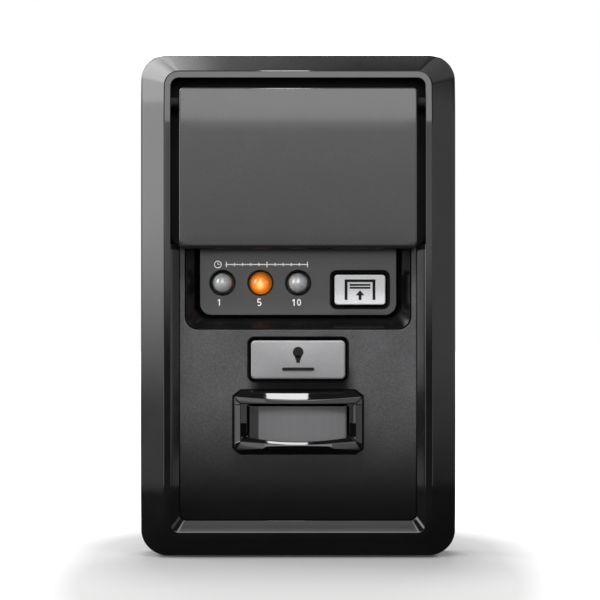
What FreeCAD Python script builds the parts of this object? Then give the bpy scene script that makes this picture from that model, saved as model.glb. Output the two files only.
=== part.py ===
import FreeCAD, Part
import math
import os
import re

import Sketcher
from FreeCAD import Vector

# Garage door wall control panel.
# Millimetres. +Z is up, +X is to the right, the front faces -Y.
# The origin is the centre of the flat back that lies on the wall.
# A depth is a distance in front of the wall, so a point at depth d has Y = -d.

SIZES = [
    # Outer housing
    ("panel_width", 80.6, "outside width of the housing"),
    ("panel_height", 128.9, "outside height of the housing"),
    ("panel_corner", 6.7, "outside corner radius"),
    ("rim_front", 14.0, "depth of the outer edge of the sloped border"),
    ("ridge_front", 18.0, "depth of the raised ridge"),
    ("border_side", 6.2, "width of the sloped border at the sides"),
    ("border_end", 4.75, "width of the sloped border at top and bottom"),
    ("ridge_side", 1.7, "width of the ridge at the sides"),
    ("ridge_end", 1.8, "width of the ridge at top and bottom"),
    ("ridge_corner", 3.8, "outer corner radius of the ridge"),
    ("slope_side", 2.1, "width of the inner slope at the sides"),
    ("slope_end", 2.9, "width of the inner slope at the bottom"),
    ("well_corner", 2.0, "inner corner radius of the ridge"),
    ("bow_start", 46.0, "height above and below the middle where the front starts to curve back"),
    ("bow_radius", 60.0, "radius of that curve, seen from the side"),
    ("wall_thickness", 2.4, "side wall of the housing"),
    ("floor_thickness", 1.9, "floors behind the face and in the bay"),
    ("hollow_side", 1.0, "hollow behind the face, from the sides of the well"),
    ("hollow_end", 2.0, "hollow behind the face, from the end of the well"),
    # Face, bay and timer recess
    ("face_front", 15.6, "depth of the face plate's front"),
    ("face_thickness", 1.4, "face plate thickness"),
    ("face_corner", 1.5, "face plate corner radius"),
    ("fit_gap", 0.1, "clearance round parts that drop into a seat"),
    ("recess_margin", 1.7, "face plate beside the timer recess"),
    ("recess_low", -5.85, "lower edge of the timer recess"),
    ("recess_corner", 3.0, "corner radius of the timer recess"),
    ("recess_run", 3.2, "width of the sloped wall of the timer recess"),
    ("recess_lip", 0.3, "flat lip round the timer recess"),
    ("bay_low", 15.5, "lower end of the bay behind the push bar"),
    # Timer panel
    ("timer_front", 12.8, "depth of the timer panel's front"),
    ("timer_thickness", 1.5, "timer panel thickness"),
    ("timer_high", 20.5, "upper edge of the timer panel, behind the push bar"),
    # Push bar
    ("bar_low", 14.3, "lower edge of the push bar"),
    ("bar_front", 19.3, "depth of the push bar's front"),
    ("bar_wall", 1.9, "push bar wall"),
    ("bar_corner", 0.9, "push bar corner radius"),
    ("bar_skirt_back", 14.0, "depth of the back of the push bar's skirt"),
    ("bar_lip", 2.3, "height of the push bar's skirtless lower lip"),
    ("channel_side", 2.2, "open channel beside the push bar"),
    ("channel_top", 2.7, "open channel above the push bar"),
    ("hinge_drop", 3.7, "hinge axis below the top of the push bar"),
    ("hinge_depth", 15.6, "depth of the hinge axis"),
    ("hinge_radius", 1.5, "radius of the moulded hinge stubs"),
    ("hinge_reach", 1.3, "length of a hinge stub inside the housing wall"),
    ("running_gap", 0.05, "radial clearance of shafts in their holes"),
    ("bar_boss_height", 24.0, "height of the boss that presses the door switch"),
    ("bar_boss_radius", 2.2, "radius of that boss"),
    ("bar_boss_gap", 1.1, "free travel between that boss and the switch plunger"),
    # Push buttons
    ("button_gap", 0.35, "clearance round each button cap"),
    ("button_travel", 0.4, "travel of each button"),
    ("button_wall", 1.2, "wall of a button cap"),
    ("flange_width", 1.1, "retaining flange round a button cap"),
    ("flange_thickness", 0.8, "thickness of the light button's flange"),
    ("stem_radius", 1.9, "stem that presses the switch plunger"),
    ("hold_width", 13.4, "hold open button"),
    ("hold_height", 8.1, "hold open button"),
    ("hold_corner", 0.8, "hold open button"),
    ("hold_inset", 9.35, "centre of the hold open button from the timer panel's side"),
    ("hold_up", 3.95, "height of the hold open button's centre"),
    ("hold_front", 14.0, "depth of the hold open button's front"),
    ("hold_ring", 0.9, "open ring round the hold open button"),
    ("light_width", 24.4, "light button"),
    ("light_height", 10.2, "light button"),
    ("light_corner", 1.1, "light button"),
    ("light_up", -13.9, "height of the light button's centre"),
    ("light_front", 17.1, "depth of the light button's front"),
    ("light_ring", 0.65, "open ring round the light button"),
    ("lock_width", 9.0, "lock button behind the push bar"),
    ("lock_height", 6.4, "lock button"),
    ("learn_width", 6.4, "learn button behind the push bar"),
    ("setup_corner", 1.2, "corner radius of the lock and learn buttons"),
    ("setup_front", 12.7, "depth of the lock and learn buttons' fronts"),
    ("setup_spread", 15.0, "lock and learn buttons from the middle"),
    ("setup_drop", 6.0, "lock and learn buttons below the top of the board"),
    # Switches
    ("switch_width", 6.2, "body of a push switch"),
    ("switch_height", 2.5, "height of a push switch body"),
    ("plunger_radius", 1.7, "switch plunger"),
    ("plunger_inside", 1.5, "length of plunger inside the switch body"),
    ("low_plunger", 1.0, "plunger outside the body, low switches"),
    ("tall_plunger", 1.5, "plunger outside the body, light switch"),
    ("bar_plunger", 5.2, "plunger outside the body, door switch"),
    # Lamps
    ("lamp_radius", 2.5, "lamp body"),
    ("lamp_length", 8.6, "lamp, flange to dome top"),
    ("lamp_flange", 0.4, "width of the lamp's flange"),
    ("lamp_flange_thickness", 1.0, "thickness of the lamp's flange"),
    ("lamp_spacer", 1.1, "spacer between lamp and board"),
    ("lamp_pitch", 9.7, "distance between lamps"),
    ("lamp_up", 5.7, "height of the lamps"),
    ("lamp_hole", 3.3, "hole in the timer panel round each lamp"),
    ("lead_radius", 0.25, "wire leads of lamps and sensor"),
    ("lead_spread", 1.27, "leads from the middle of a lamp or sensor"),
    ("lead_tail", 0.9, "leads left behind the board"),
    # Motion sensor
    ("hood_width", 33.2, "sensor hood where it meets the face"),
    ("hood_height", 16.3, "sensor hood where it meets the face"),
    ("hood_cut_side", 2.1, "corner cut of the hood, along its width"),
    ("hood_cut_end", 1.65, "corner cut of the hood, along its height"),
    ("hood_front_cut", 0.4, "corner cut of the hood's front rim"),
    ("hood_up", -29.8, "height of the hood's centre"),
    ("hood_front", 17.9, "depth of the hood's front in the middle"),
    ("hood_bulge", 183.0, "radius of the hood's bulged front, seen from above"),
    ("hood_slope_side", 0.93, "run of the hood's sloped sides"),
    ("hood_slope_top", 2.43, "run of the hood's sloped top"),
    ("hood_slope_low", 2.2, "run of the hood's sloped underside"),
    ("hood_rim_side", 0.17, "front rim at the sides, before the bulge cuts them back"),
    ("hood_rim_top", 0.78, "front rim above the window, in the middle"),
    ("hood_rim_low", 0.29, "front rim below the window, in the middle"),
    ("hood_inner_slope", 2.8, "run of the window's side walls"),
    ("hood_sill", 2.2, "run of the window's sloped sill"),
    ("hood_neck_wall", 1.0, "wall of the hood's neck through the housing"),
    ("hood_neck_length", 3.2, "length of the hood's neck behind the face floor"),
    ("lens_seat", 15.9, "depth of the seat that the lens flange rests on"),
    ("lens_ledge", 0.6, "width of that seat"),
    ("lens_flange", 0.9, "thickness of the lens flange"),
    ("lens_rise", 1.5, "how far the lens stands out from its flange"),
    ("lens_bulge", 87.0, "radius of the lens's bulged front, seen from above"),
    ("lens_wall", 0.9, "lens thickness"),
    ("sensor_radius", 4.1, "sensor can"),
    ("sensor_height", 4.2, "sensor can"),
    ("sensor_flange", 0.5, "sensor can's flange, width and thickness"),
    ("sensor_window_width", 4.0, "sensor window"),
    ("sensor_window_height", 3.0, "sensor window"),
    ("sensor_window_thickness", 0.2, "sensor window"),
    # Board
    ("board_back", 4.0, "depth of the back of the circuit board"),
    ("board_thickness", 1.6, "circuit board thickness"),
    ("board_margin", 3.9, "circuit board's side from the housing's wall"),
    ("board_low_margin", 19.95, "circuit board's lower edge from the housing's wall"),
    ("board_clearance", 1.0, "circuit board below the upper wall screw's head"),
    ("board_corner", 2.0, "circuit board corner radius"),
    ("board_screw_inset", 6.0, "board screws from the board's sides"),
    ("board_screw_drop", 4.0, "board screws from the board's top and bottom"),
    ("board_screw_radius", 1.0, "board screw shank"),
    ("board_screw_head", 2.1, "head radius of the board screws"),
    ("board_screw_head_thickness", 1.1, "head thickness of the board screws"),
    ("board_boss", 2.4, "bosses that the board is screwed to"),
    ("chip_width", 10.0, "microcontroller"),
    ("chip_height", 1.5, "microcontroller"),
    ("chip_inset", 14.0, "microcontroller and resistors from the board's side"),
    ("rectifier_width", 8.0, "bridge rectifier"),
    ("rectifier_depth", 6.5, "bridge rectifier"),
    ("rectifier_height", 3.0, "bridge rectifier"),
    ("capacitor_radius", 4.0, "storage capacitor"),
    ("capacitor_height", 6.0, "storage capacitor"),
    ("power_inset", 14.0, "rectifier and capacitor from the board's side"),
    ("power_drop", 8.0, "rectifier below the light button's centre"),
    ("resistor_width", 2.0, "chip resistors"),
    ("resistor_depth", 1.25, "chip resistors"),
    ("resistor_height", 0.6, "chip resistors"),
    ("resistor_pitch", 3.6, "distance between chip resistors"),
    # Rear cover
    ("cover_thickness", 2.4, "rear cover"),
    ("cover_gap", 0.2, "gap round the rear cover"),
    ("case_screw_side", 4.5, "case screws from the housing's side walls"),
    ("case_screw_end", 7.2, "case screws from the housing's end walls"),
    ("case_screw_radius", 1.25, "case screw shank"),
    ("case_boss", 3.2, "bosses that the rear cover is screwed to"),
    ("screw_head", 2.6, "head radius of the case screws"),
    ("screw_head_thickness", 1.2, "head thickness of the case screws"),
    ("screw_sink", 1.4, "depth of the recesses for the case screws' heads"),
    ("screw_slot", 0.6, "width and depth of the cross in the screw heads"),
    ("bore_floor", 0.8, "plastic between a screw hole's end and the floor it is in"),
    ("tip_gap", 0.4, "space in front of a screw's tip"),
    ("wall_hole", 2.2, "radius of the holes for the wall screws"),
    ("wall_head", 4.2, "radius that lets a wall screw's head pass"),
    ("top_hole_drop", 7.5, "upper wall screw below the hinge axis"),
    ("keyhole_rise", 10.45, "keyhole's large end above the housing's lower wall"),
    ("keyhole_travel", 6.0, "how far the housing drops on to the lower wall screw"),
    ("wire_window_half", 12.0, "half width of the opening for the wires"),
    ("wire_window_low", -37.0, "lower edge of the opening for the wires"),
    ("wire_window_high", -16.0, "upper edge of the opening for the wires"),
    ("terminal_side", 6.5, "wire terminals from the middle"),
    ("terminal_up", -21.0, "height of the wire terminals"),
    ("terminal_width", 8.0, "terminal plates"),
    ("terminal_depth", 7.0, "terminal plates"),
    ("terminal_thickness", 0.8, "terminal plates"),
    ("terminal_screw_radius", 1.4, "terminal screw shank"),
    ("terminal_head", 3.0, "head radius of the terminal screws"),
    ("terminal_head_thickness", 1.8, "head thickness of the terminal screws"),
    ("terminal_tail", 1.0, "terminal screw tips in front of the board"),
]

doc = FreeCAD.newDocument("wall_control_panel")
sheet = doc.addObject("Spreadsheet::Sheet", "Sizes")
for row, (alias, number, meaning) in enumerate(SIZES, start=1):
    sheet.set(f"A{row}", alias)
    sheet.set(f"B{row}", str(number))
    sheet.set(f"C{row}", meaning)
    sheet.setAlias(f"B{row}", alias)
doc.recompute()

ALIASES = {alias for alias, number, meaning in SIZES}

# Sizes worked out from the sheet, as formulas in its words
HALF_WIDTH = "(panel_width / 2)"
HALF_HEIGHT = "(panel_height / 2)"
CAVITY_SIDE = f"({HALF_WIDTH} - wall_thickness)"
CAVITY_END = f"({HALF_HEIGHT} - wall_thickness)"
CAVITY_CORNER = "(panel_corner - wall_thickness)"
RIDGE_SIDE = f"({HALF_WIDTH} - border_side)"
RIDGE_END = f"({HALF_HEIGHT} - border_end)"
BAY_SIDE = f"({RIDGE_SIDE} - ridge_side)"
BAY_END = f"({RIDGE_END} - ridge_end)"
WELL_SIDE = f"({BAY_SIDE} - slope_side)"
WELL_END = f"({BAY_END} - slope_end)"
FACE_SIDE = f"({WELL_SIDE} - fit_gap)"
FACE_LOW = f"(fit_gap - {WELL_END})"
FACE_HIGH = "(bay_low - 2 * fit_gap)"
FACE_FLOOR = "(face_front - face_thickness)"
FACE_UNDER = f"({FACE_FLOOR} - floor_thickness)"
BAY_FLOOR = "(timer_front - timer_thickness)"
BAY_UNDER = f"({BAY_FLOOR} - floor_thickness)"
RECESS_SIDE = f"({FACE_SIDE} - recess_margin)"
TIMER_SEAT_SIDE = f"({RECESS_SIDE} - recess_run)"
TIMER_SEAT_LOW = "(recess_low + recess_run)"
TIMER_SIDE = f"({TIMER_SEAT_SIDE} - fit_gap)"
TIMER_LOW = f"({TIMER_SEAT_LOW} + fit_gap)"
BAR_SIDE = f"({BAY_SIDE} - channel_side)"
BAR_HIGH = f"({BAY_END} - channel_top)"
BAR_INSIDE = "(bar_front - bar_wall)"
HINGE_UP = f"({BAR_HIGH} - hinge_drop)"
TOP_HOLE_UP = f"({HINGE_UP} - top_hole_drop)"
KEYHOLE_UP = f"(keyhole_rise - {CAVITY_END})"
BOARD_FRONT = "(board_back + board_thickness)"
BOARD_SIDE = f"({CAVITY_SIDE} - board_margin)"
BOARD_HIGH = f"({TOP_HOLE_UP} - wall_head - board_clearance)"
BOARD_LOW = f"(board_low_margin - {CAVITY_END})"
CHIP_SIDE = f"(chip_inset - {BOARD_SIDE})"
POWER_SIDE = f"({BOARD_SIDE} - power_inset)"
SWITCH_FRONT = f"({BOARD_FRONT} + switch_height)"
LOW_CAP_BACK = f"({SWITCH_FRONT} + button_travel + fit_gap)"
HOLD_SIDE = f"({TIMER_SIDE} - hold_inset)"
SETUP_UP = f"({BOARD_HIGH} - setup_drop)"
LAMP_BASE = f"({BOARD_FRONT} + lamp_spacer)"
LENS_SIDE = "(hood_width / 2 - hood_slope_side - hood_rim_side - hood_inner_slope)"
LENS_HIGH = "(hood_up + hood_height / 2 - hood_slope_top - hood_rim_top)"
MOUTH_LOW = "(hood_up - hood_height / 2 + hood_slope_low + hood_rim_low)"
LENS_LOW = f"({MOUTH_LOW} + hood_sill)"
SENSOR_UP = "(hood_up - 2 * fit_gap)"
TERMINAL_BACK = "(board_back - terminal_thickness)"
BORE_END = f"({BAY_UNDER} - bore_floor)"

LAMPS = ("1", "5", "10")
RESISTORS = 6
# How far a cut runs past the surface that it opens
PAST = 1.0
# Length of the cross in a screw head, in head radii
CROSS_SHARE = 1.3


def lamp_side(index):
    """Formula for the place of a lamp: the last one is in the middle."""
    return f"(-{len(LAMPS) - 1 - index} * lamp_pitch)"


def cells(formula):
    """The formula with each size name turned into its cell of the sheet."""
    return re.sub(r"[a-z][a-z_]+", lambda word: "Sizes." + word.group()
                  if word.group() in ALIASES else word.group(), formula)


def value(formula):
    """The formula's number."""
    return float(sheet.evalExpression(cells(formula)))


# Drawing

def add_sketch(body, name, plane, offset="0"):
    """An empty sketch on one of the body's own planes, moved along its normal."""
    sketch = body.newObject("Sketcher::SketchObject", name)
    origin = [item for item in body.Origin.OriginFeatures if item.Role == plane][0]
    sketch.AttachmentSupport = (origin, [""])
    sketch.MapMode = "FlatFace"
    sketch.setExpression("AttachmentOffset.Base.z", cells(offset))
    return sketch


def bind(sketch, name, formula, kind, *where):
    """A named dimension that follows the sheet."""
    index = sketch.addConstraint(Sketcher.Constraint(kind, *where, value(formula)))
    sketch.renameConstraint(index, name)
    sketch.setExpression("Constraints." + name, cells(formula))


def draw_rounded(sketch, box, corner):
    """A rectangle with round corners; box is (left, right, low, high)."""
    left, right, low, high = [value(side) for side in box]
    radius = value(corner)
    quarter = math.pi / 2
    up = Vector(0, 0, 1)
    inner_left = left + radius
    inner_right = right - radius
    inner_low = low + radius
    inner_high = high - radius

    def line(x1, y1, x2, y2):
        return sketch.addGeometry(Part.LineSegment(Vector(x1, y1, 0), Vector(x2, y2, 0)), False)

    def arc(x, y, turn):
        circle = Part.Circle(Vector(x, y, 0), up, radius)
        return sketch.addGeometry(Part.ArcOfCircle(circle, turn * quarter, (turn + 1) * quarter), False)

    ring = [
        line(inner_left, low, inner_right, low),
        arc(inner_right, inner_low, -1),
        line(right, inner_low, right, inner_high),
        arc(inner_right, inner_high, 0),
        line(inner_right, high, inner_left, high),
        arc(inner_left, inner_high, 1),
        line(left, inner_high, left, inner_low),
        arc(inner_left, inner_low, 2),
    ]
    for index, item in enumerate(ring):
        sketch.addConstraint(Sketcher.Constraint("Tangent", item, 2, ring[(index + 1) % 8], 1))
    for item in (ring[0], ring[4]):
        sketch.addConstraint(Sketcher.Constraint("Horizontal", item))
    for item in (ring[2], ring[6]):
        sketch.addConstraint(Sketcher.Constraint("Vertical", item))
    for item in (ring[3], ring[5], ring[7]):
        sketch.addConstraint(Sketcher.Constraint("Equal", ring[1], item))
    bind(sketch, f"corner{ring[0]}", corner, "Radius", ring[1])
    bind(sketch, f"left{ring[0]}", box[0], "DistanceX", -1, 1, ring[6], 1)
    bind(sketch, f"right{ring[0]}", box[1], "DistanceX", -1, 1, ring[2], 1)
    bind(sketch, f"low{ring[0]}", box[2], "DistanceY", -1, 1, ring[0], 1)
    bind(sketch, f"high{ring[0]}", box[3], "DistanceY", -1, 1, ring[4], 1)


def draw_polygon(sketch, corners):
    """A closed outline of straight lines; each corner is a pair of formulas."""
    points = [Vector(value(x), value(y), 0) for x, y in corners]
    count = len(points)
    ring = []
    for index, point in enumerate(points):
        ring.append(sketch.addGeometry(Part.LineSegment(point, points[(index + 1) % count]), False))
    for index, item in enumerate(ring):
        sketch.addConstraint(Sketcher.Constraint("Coincident", item, 2, ring[(index + 1) % count], 1))
    for item, (x, y) in zip(ring, corners):
        bind(sketch, f"across{item}", x, "DistanceX", -1, 1, item, 1)
        bind(sketch, f"along{item}", y, "DistanceY", -1, 1, item, 1)


def draw_circles(sketch, centres, radius):
    """One circle at each centre; a centre is a pair of formulas."""
    for x, y in centres:
        circle = Part.Circle(Vector(value(x), value(y), 0), Vector(0, 0, 1), value(radius))
        item = sketch.addGeometry(circle, False)
        bind(sketch, f"radius{item}", radius, "Radius", item)
        bind(sketch, f"across{item}", x, "DistanceX", -1, 1, item, 3)
        bind(sketch, f"along{item}", y, "DistanceY", -1, 1, item, 3)


def around(side, up, width, height, margin="0"):
    """Box formulas of a rectangle round a centre, made larger by a margin."""
    return (f"({side}) - ({width}) / 2 - ({margin})", f"({side}) + ({width}) / 2 + ({margin})",
            f"({up}) - ({height}) / 2 - ({margin})", f"({up}) + ({height}) / 2 + ({margin})")


def mirrored(side, low, high):
    """Box formulas of a rectangle that reaches as far left as right."""
    return (f"-({side})", side, low, high)


# Features

PIECES = []


class Piece:
    """One sub-part: a body whose solids and cuts run between two depths."""

    def __init__(self, label, base=None):
        self.body = doc.addObject("PartDesign::Body", label)
        self.body.Label = label
        self.count = 0
        if base is not None:
            self.body.BaseFeature = base
            doc.recompute([base, self.body])
        PIECES.append(self)

    def name(self, kind):
        """A name for the body's next sketch or feature."""
        self.count += 1
        return f"{self.body.Label}_{kind}_{self.count}"

    def volume(self):
        """The body's volume so far, 0 before its first feature."""
        shape = self.body.Shape
        return 0 if shape.isNull() else shape.Volume

    def extrude(self, kind, sketch, length, **options):
        """Pad or pocket a sketch; a pad grows to the front, a pocket cuts to the back."""
        feature = self.body.newObject("PartDesign::" + kind, self.name(kind.lower()))
        feature.Profile = sketch
        feature.setExpression("Length", cells(length))
        for option, setting in options.items():
            setattr(feature, option, setting)
        before = self.volume()
        doc.recompute([sketch, feature, self.body])
        after = self.volume()
        if (kind == "Pad") != (after > before):
            raise RuntimeError(f"{feature.Name} changes nothing")
        return feature

    def pad(self, box, corner, back, front):
        """A plate with round corners."""
        sketch = add_sketch(self.body, self.name("outline"), "XZ_Plane", back)
        draw_rounded(sketch, box, corner)
        self.extrude("Pad", sketch, f"({front}) - ({back})")

    def pocket(self, box, corner, back, front):
        """A cut with round corners."""
        sketch = add_sketch(self.body, self.name("outline"), "XZ_Plane", front)
        draw_rounded(sketch, box, corner)
        self.extrude("Pocket", sketch, f"({front}) - ({back})")

    def discs(self, centres, radius, back, front):
        """Round studs."""
        sketch = add_sketch(self.body, self.name("circles"), "XZ_Plane", back)
        draw_circles(sketch, centres, radius)
        self.extrude("Pad", sketch, f"({front}) - ({back})")

    def holes(self, centres, radius, back, front):
        """Round holes."""
        sketch = add_sketch(self.body, self.name("circles"), "XZ_Plane", front)
        draw_circles(sketch, centres, radius)
        self.extrude("Pocket", sketch, f"({front}) - ({back})")

    def polygon(self, kind, corners, back, front):
        """A pad or pocket with a straight-sided outline."""
        sketch = add_sketch(self.body, self.name("outline"), "XZ_Plane", back if kind == "Pad" else front)
        draw_polygon(sketch, corners)
        self.extrude(kind, sketch, f"({front}) - ({back})")

    def crossbar(self, kind, depth, up, radius, length):
        """A round bar or bore that runs from side to side, centred on the middle."""
        sketch = add_sketch(self.body, self.name("circles"), "YZ_Plane")
        draw_circles(sketch, [(f"-({depth})", up)], radius)
        self.extrude(kind, sketch, length, Midplane=True)

    def taper(self, kind, sections):
        """A straight-sided loft between sketches that have been drawn already."""
        feature = self.body.newObject("PartDesign::" + kind, self.name("taper"))
        feature.Profile = sections[0]
        feature.Sections = sections[1:]
        feature.Ruled = True
        before = self.volume()
        doc.recompute([*sections, feature, self.body])
        if abs(self.volume() - before) < 1e-6:
            raise RuntimeError(f"{feature.Name} changes nothing")

    def bow(self, front, end):
        """Cut the front back along the housing's curve; end is 1 at the top and -1 at the bottom."""
        sketch = add_sketch(self.body, self.name("bow"), "YZ_Plane")
        depth = value(front)
        radius = value("bow_radius")
        start = end * value("bow_start")
        reach = f"({end} * {HALF_HEIGHT})"
        swing = math.asin((abs(value(reach)) - value("bow_start")) / radius)
        drop = radius - radius * math.cos(swing)
        ahead = f"-({front}) - ridge_front"
        circle = Part.Circle(Vector(radius - depth, start, 0), Vector(0, 0, 1), radius)
        angles = (math.pi - swing, math.pi) if end > 0 else (math.pi, math.pi + swing)
        arc = sketch.addGeometry(Part.ArcOfCircle(circle, *angles), False)
        far_end, near_end = (1, 2) if end > 0 else (2, 1)
        corners = [
            Vector(drop - depth, value(reach), 0),
            Vector(value(ahead), value(reach), 0),
            Vector(value(ahead), start, 0),
            Vector(-depth, start, 0),
        ]
        lines = []
        for first, second in zip(corners, corners[1:]):
            lines.append(sketch.addGeometry(Part.LineSegment(first, second), False))
        sketch.addConstraint(Sketcher.Constraint("Coincident", arc, far_end, lines[0], 1))
        sketch.addConstraint(Sketcher.Constraint("Coincident", lines[0], 2, lines[1], 1))
        sketch.addConstraint(Sketcher.Constraint("Coincident", lines[1], 2, lines[2], 1))
        sketch.addConstraint(Sketcher.Constraint("Coincident", lines[2], 2, arc, near_end))
        sketch.addConstraint(Sketcher.Constraint("Horizontal", lines[0]))
        sketch.addConstraint(Sketcher.Constraint("Vertical", lines[1]))
        sketch.addConstraint(Sketcher.Constraint("Horizontal", lines[2]))
        bind(sketch, "radius", "bow_radius", "Radius", arc)
        bind(sketch, "centre_across", f"bow_radius - ({front})", "DistanceX", -1, 1, arc, 3)
        bind(sketch, "centre_along", f"{end} * bow_start", "DistanceY", -1, 1, arc, 3)
        bind(sketch, "reach", reach, "DistanceY", -1, 1, lines[0], 1)
        bind(sketch, "ahead", ahead, "DistanceX", -1, 1, lines[1], 1)
        bind(sketch, "start", f"{end} * bow_start", "DistanceY", -1, 1, lines[2], 2)
        self.extrude("Pocket", sketch, "panel_width", Midplane=True)


# The housing's outer form
# Its border and inner slope are ruled surfaces between outlines that both lie on the bowed front.

def rounded_wire(side, end, corner, depth):
    """A rounded rectangle about the middle, at one depth."""
    low = Vector(0, -depth, 0)
    turn = math.sqrt(0.5)
    points = []
    for across, along in ((1, -1), (1, 1), (-1, 1), (-1, -1)):
        centre = Vector(across * (side - corner), 0, along * (end - corner)) + low
        flat = Vector(0, 0, along * corner)
        upright = Vector(across * corner, 0, 0)
        bend = Vector(across * corner * turn, 0, along * corner * turn)
        first, last = (flat, upright) if across * along < 0 else (upright, flat)
        points.append((centre + first, centre + bend, centre + last))
    edges = []
    for index, (start, middle, finish) in enumerate(points):
        edges.append(Part.Arc(start, middle, finish).toShape())
        edges.append(Part.makeLine(finish, points[(index + 1) % 4][0]))
    return Part.Wire(edges)


def bow_block(depth):
    """Everything in front of the bowed surface that passes through one depth."""
    side = value("panel_width")
    start = value("bow_start")
    radius = value("bow_radius")
    end = value(HALF_HEIGHT) + value("border_end")
    ahead = depth + value("ridge_front")

    def curve(height):
        past = max(abs(height) - start, 0)
        return Vector(-side, radius - math.sqrt(radius ** 2 - past ** 2) - depth, height)

    middle = (start + end) / 2
    edges = [
        Part.Arc(curve(-end), curve(-middle), curve(-start)).toShape(),
        Part.makeLine(curve(-start), curve(start)),
        Part.Arc(curve(start), curve(middle), curve(end)).toShape(),
        Part.makeLine(curve(end), Vector(-side, -ahead, end)),
        Part.makeLine(Vector(-side, -ahead, end), Vector(-side, -ahead, -end)),
        Part.makeLine(Vector(-side, -ahead, -end), curve(-end)),
    ]
    return Part.Face(Part.Wire(edges)).extrude(Vector(2 * side, 0, 0))


def bowed_solid(side, end, corner, depth):
    """A rounded block from the wall to the bowed surface at one depth."""
    block = Part.Face(rounded_wire(side, end, corner, 0)).extrude(Vector(0, -depth - 1, 0))
    return block.cut(bow_block(depth))


def front_faces(solid):
    """The faces of such a block that don't reach the wall."""
    return [face for face in solid.Faces if face.BoundBox.YMax < -1]


def front_wire(solid):
    """The outline of the block's bowed front."""
    edges = [edge for face in front_faces(solid) for edge in face.Edges]
    outside = [edge for edge in edges if sum(edge.isSame(other) for other in edges) == 1]
    return Part.Wire(Part.__sortEdges__(outside))


def sloped_ring(low_block, high_block):
    """The solid between two bowed fronts, with straight slopes from one outline to the other."""
    slopes = Part.makeLoft([front_wire(low_block), front_wire(high_block)], False, True)
    shell = Part.makeShell(front_faces(low_block) + slopes.Faces + front_faces(high_block))
    shell.sewShape()
    solid = Part.makeSolid(Part.Shell(shell.Faces))
    if solid.Volume < 0:
        solid.reverse()
    if not solid.isValid():
        raise RuntimeError("a sloped ring didn't close")
    return solid


def housing_form():
    """Outer block, sloped border, bowed ridge and sloped well."""
    rim = value("rim_front")
    ridge = value("ridge_front")
    face = value("face_front")
    outer = bowed_solid(value(HALF_WIDTH), value(HALF_HEIGHT), value("panel_corner"), rim)
    crest = bowed_solid(value(RIDGE_SIDE), value(RIDGE_END), value("ridge_corner"), ridge)
    # The well's slope is carried on past the ridge so that it cuts clean through
    past = PAST / (ridge - face)
    well_low = bowed_solid(value(WELL_SIDE), value(WELL_END), value("face_corner"), face)
    well_high = bowed_solid(value(BAY_SIDE) + past * value("slope_side"),
                            value(BAY_END) + past * value("slope_end"),
                            value("well_corner"), ridge + PAST)
    return outer.fuse(sloped_ring(outer, crest)).cut(sloped_ring(well_low, well_high)).removeSplitter()


form = doc.addObject("Part::Feature", "housing_form")
form.Shape = housing_form()
doc.recompute()

CASE_SCREWS = [(f"{across} * ({CAVITY_SIDE} - case_screw_side)", f"{along} * ({CAVITY_END} - case_screw_end)")
               for across in (-1, 1) for along in (-1, 1)]
UPPER_BOARD_SCREWS = [(f"{across} * ({BOARD_SIDE} - board_screw_inset)", f"({BOARD_HIGH} - board_screw_drop)")
                      for across in (-1, 1)]
LOWER_BOARD_SCREWS = [(f"{across} * ({BOARD_SIDE} - board_screw_inset)", f"({BOARD_LOW} + board_screw_drop)")
                      for across in (-1, 1)]
LAMP_PLACES = [(lamp_side(index), "lamp_up") for index in range(len(LAMPS))]
TERMINALS = [(f"{across} * terminal_side", "terminal_up") for across in (-1, 1)]
BAR_SWITCH = [("0", "bar_boss_height")]
LAMP_LEADS = [(f"{side} + {across} * lead_spread", up) for side, up in LAMP_PLACES for across in (-1, 1)]
SENSOR_PINS = [(f"{across} * lead_spread", f"{SENSOR_UP} + {along} * lead_spread")
               for across, along in ((-1, -1), (1, -1), (1, 1))]


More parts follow.
